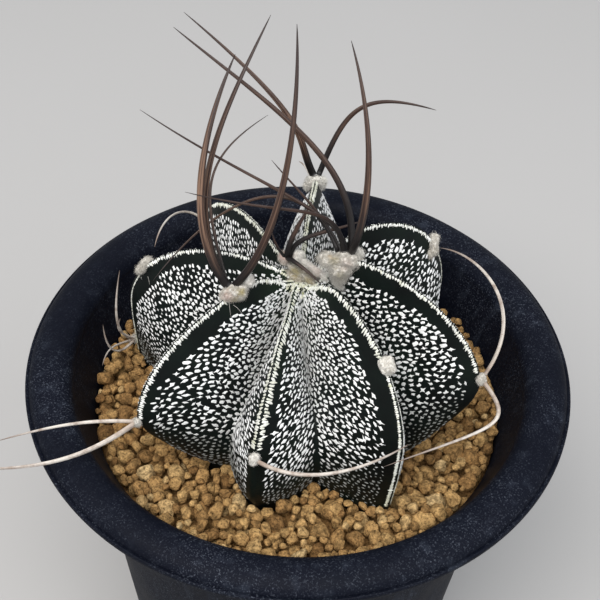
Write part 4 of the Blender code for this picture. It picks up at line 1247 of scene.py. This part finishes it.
def settled_grains(flanks, draw):
    """Grains laid one by one until none has room: rows of a grain's place and radius."""
    outline = stem_outline(flanks)
    placed, fails = np.zeros((0, 4)), 0
    while fails < GRAIN_FAILS[1]:
        size = float(np.clip(draw.lognormal(math.log(GRAIN_SIZE), GRAIN_SPREAD), *GRAIN_SIZES))
        if fails > GRAIN_FAILS[0]:
            size = draw.uniform(*SMALL_GRAINS)
        best = lowest_place(size, placed, outline, draw)
        if best is None:
            continue
        height, scale = GRAIN_RIPPLE
        top = SOIL + GRAIN_RISE + height * noise.noise(Vector((best[0] * scale, best[1] * scale, 3.0)))
        if best[2] + size * GRAIN_SINK > top:
            fails += 1
            continue
        placed = np.concatenate([placed, [[*best, size]]])
        fails = max(0, fails - 2)
    return placed


def build_gravel(flanks, mat):
    draw = np.random.default_rng(9)
    placed = settled_grains(flanks, draw)
    stocks = []
    for detail, count in GRAIN_STOCKS:
        ball, faces = unit_ball(detail)
        stocks.append((Pile(), faces, [grain_shape(ball, draw) for _ in range(count)]))
    for x, y, z, size in placed:
        seen = z + size > SOIL - GRAIN_SEEN[0] and size > GRAIN_SEEN[1]
        pile, faces, shapes = stocks[0 if seen else 1]
        shape = shapes[draw.integers(len(shapes))] * draw.uniform(0.85, 1.15, 3)
        body = (shape @ random_turn(draw).T) * size * GRAIN_SWELL + [x, y, z]
        pile.add(body, faces, tone=np.clip(draw.normal(0.5, 0.22), 0, 1))
    stocks[0][0].piece("gravel_grains", mat, "gravel", ["gravel"])
    stocks[1][0].piece("gravel_filling", mat, "gravel")
    # The plain bed under the loose grains takes a very dark gravel tone: painted shade in the gaps between
    # the grains.
    bed = [(0, FLOOR_TOP + 0.4), (INSIDE_FLOOR_RADIUS - 2, FLOOR_TOP + 0.4),
           (INSIDE_FLOOR_RADIUS - 0.5, FLOOR_TOP + 1.6), (INSIDE_TOP_RADIUS - 0.6, SOIL - 4.0),
           (INSIDE_TOP_RADIUS - 1.2, SOIL - 3.4), (0, SOIL - 3.4)]
    points, faces = turned(bed, 96)
    piece("gravel_body", points, faces, mat, "gravel", tone=np.full(len(points), 0.1))


# The view

CAMERA_AIM = Vector((-0.44, 18.69, 88.0))
CAMERA_DISTANCE = 300.0
CAMERA_ELEVATION = 46.23
CAMERA_ROLL = 2.69
LENS = 88.8
SENSOR = 36.0
FLOOR_HALF = 1.5              # metres
SKY = ((0.92, 0.95, 1.0), 0.59)   # colour and strength
# Each light: name, place in metres, size, power and colour
LIGHTS = (("key", (-0.18, -0.40, 0.85), (0.6, 0.6), 9.4, (1.0, 0.97, 0.94)),
          ("fill", (0.45, -0.30, 0.60), (0.5, 0.5), 1.8, (0.93, 0.96, 1.0)))
LIGHT_AIM = (0, 0, 0.09)


def build_camera():
    e, roll = math.radians(CAMERA_ELEVATION), math.radians(CAMERA_ROLL)
    back = Vector((0, -math.cos(e), math.sin(e)))
    right, up = Vector((1, 0, 0)), Vector((0, math.sin(e), math.cos(e)))
    x = right * math.cos(roll) + up * math.sin(roll)
    y = up * math.cos(roll) - right * math.sin(roll)
    data = bpy.data.cameras.new("camera")
    data.lens = LENS
    data.sensor_width = SENSOR
    data.clip_start = 0.01
    camera = bpy.data.objects.new("camera", data)
    show(camera)
    place = (CAMERA_AIM + back * CAMERA_DISTANCE) * MM
    matrix = Matrix((x, y, back)).transposed().to_4x4()
    matrix.translation = place
    camera.matrix_world = matrix
    bpy.context.scene.camera = camera


def area_light(name, place, size, power, colour):
    data = bpy.data.lights.new(name, "AREA")
    data.shape = "RECTANGLE"
    data.size, data.size_y = size
    data.energy = power
    data.color = colour
    light = bpy.data.objects.new(name, data)
    show(light)
    light.location = place
    light.rotation_euler = (Vector(LIGHT_AIM) - Vector(place)).to_track_quat("-Z", "Y").to_euler()


def build_studio():
    half = FLOOR_HALF
    mesh = bpy.data.meshes.new("floor")
    corners = [(-half, -half, 0), (half, -half, 0), (half, half, 0), (-half, half, 0)]
    mesh.from_pydata(corners, [], [(0, 1, 2, 3)])
    mesh.materials.append(floor_material())
    floor = bpy.data.objects.new("floor", mesh)
    show(floor)
    world = bpy.data.worlds.new("studio")
    world.use_nodes = True
    background = world.node_tree.nodes["Background"]
    background.inputs["Color"].default_value = (*SKY[0], 1.0)
    background.inputs["Strength"].default_value = SKY[1]
    bpy.context.scene.world = world
    bpy.context.scene.view_settings.view_transform = "Standard"
    for light in LIGHTS:
        area_light(*light)


def main():
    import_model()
    for obj in list(bpy.data.objects):
        if obj.type in ("LIGHT", "CAMERA"):
            bpy.data.objects.remove(obj)
    build_camera()
    build_studio()
    build_pot(pot_material())
    flanks = stem_flanks()
    build_skin(flanks, skin_material())
    # The flecks' dull colour is partly painted shade: the low flecks near the gravel darken to it.
    build_flecks(flanks, hair_material("fleck_hair", (0.93, 0.94, 0.93), (0.17, 0.18, 0.16)))
    build_scales(flanks, hair_material("scale_hair", (0.86, 0.87, 0.83), (0.42, 0.43, 0.24)))
    build_wool(hair_material("wool_hair", (0.72, 0.70, 0.65), (0.27, 0.235, 0.175)))
    build_spines()
    build_gravel(flanks, gravel_material())


main()
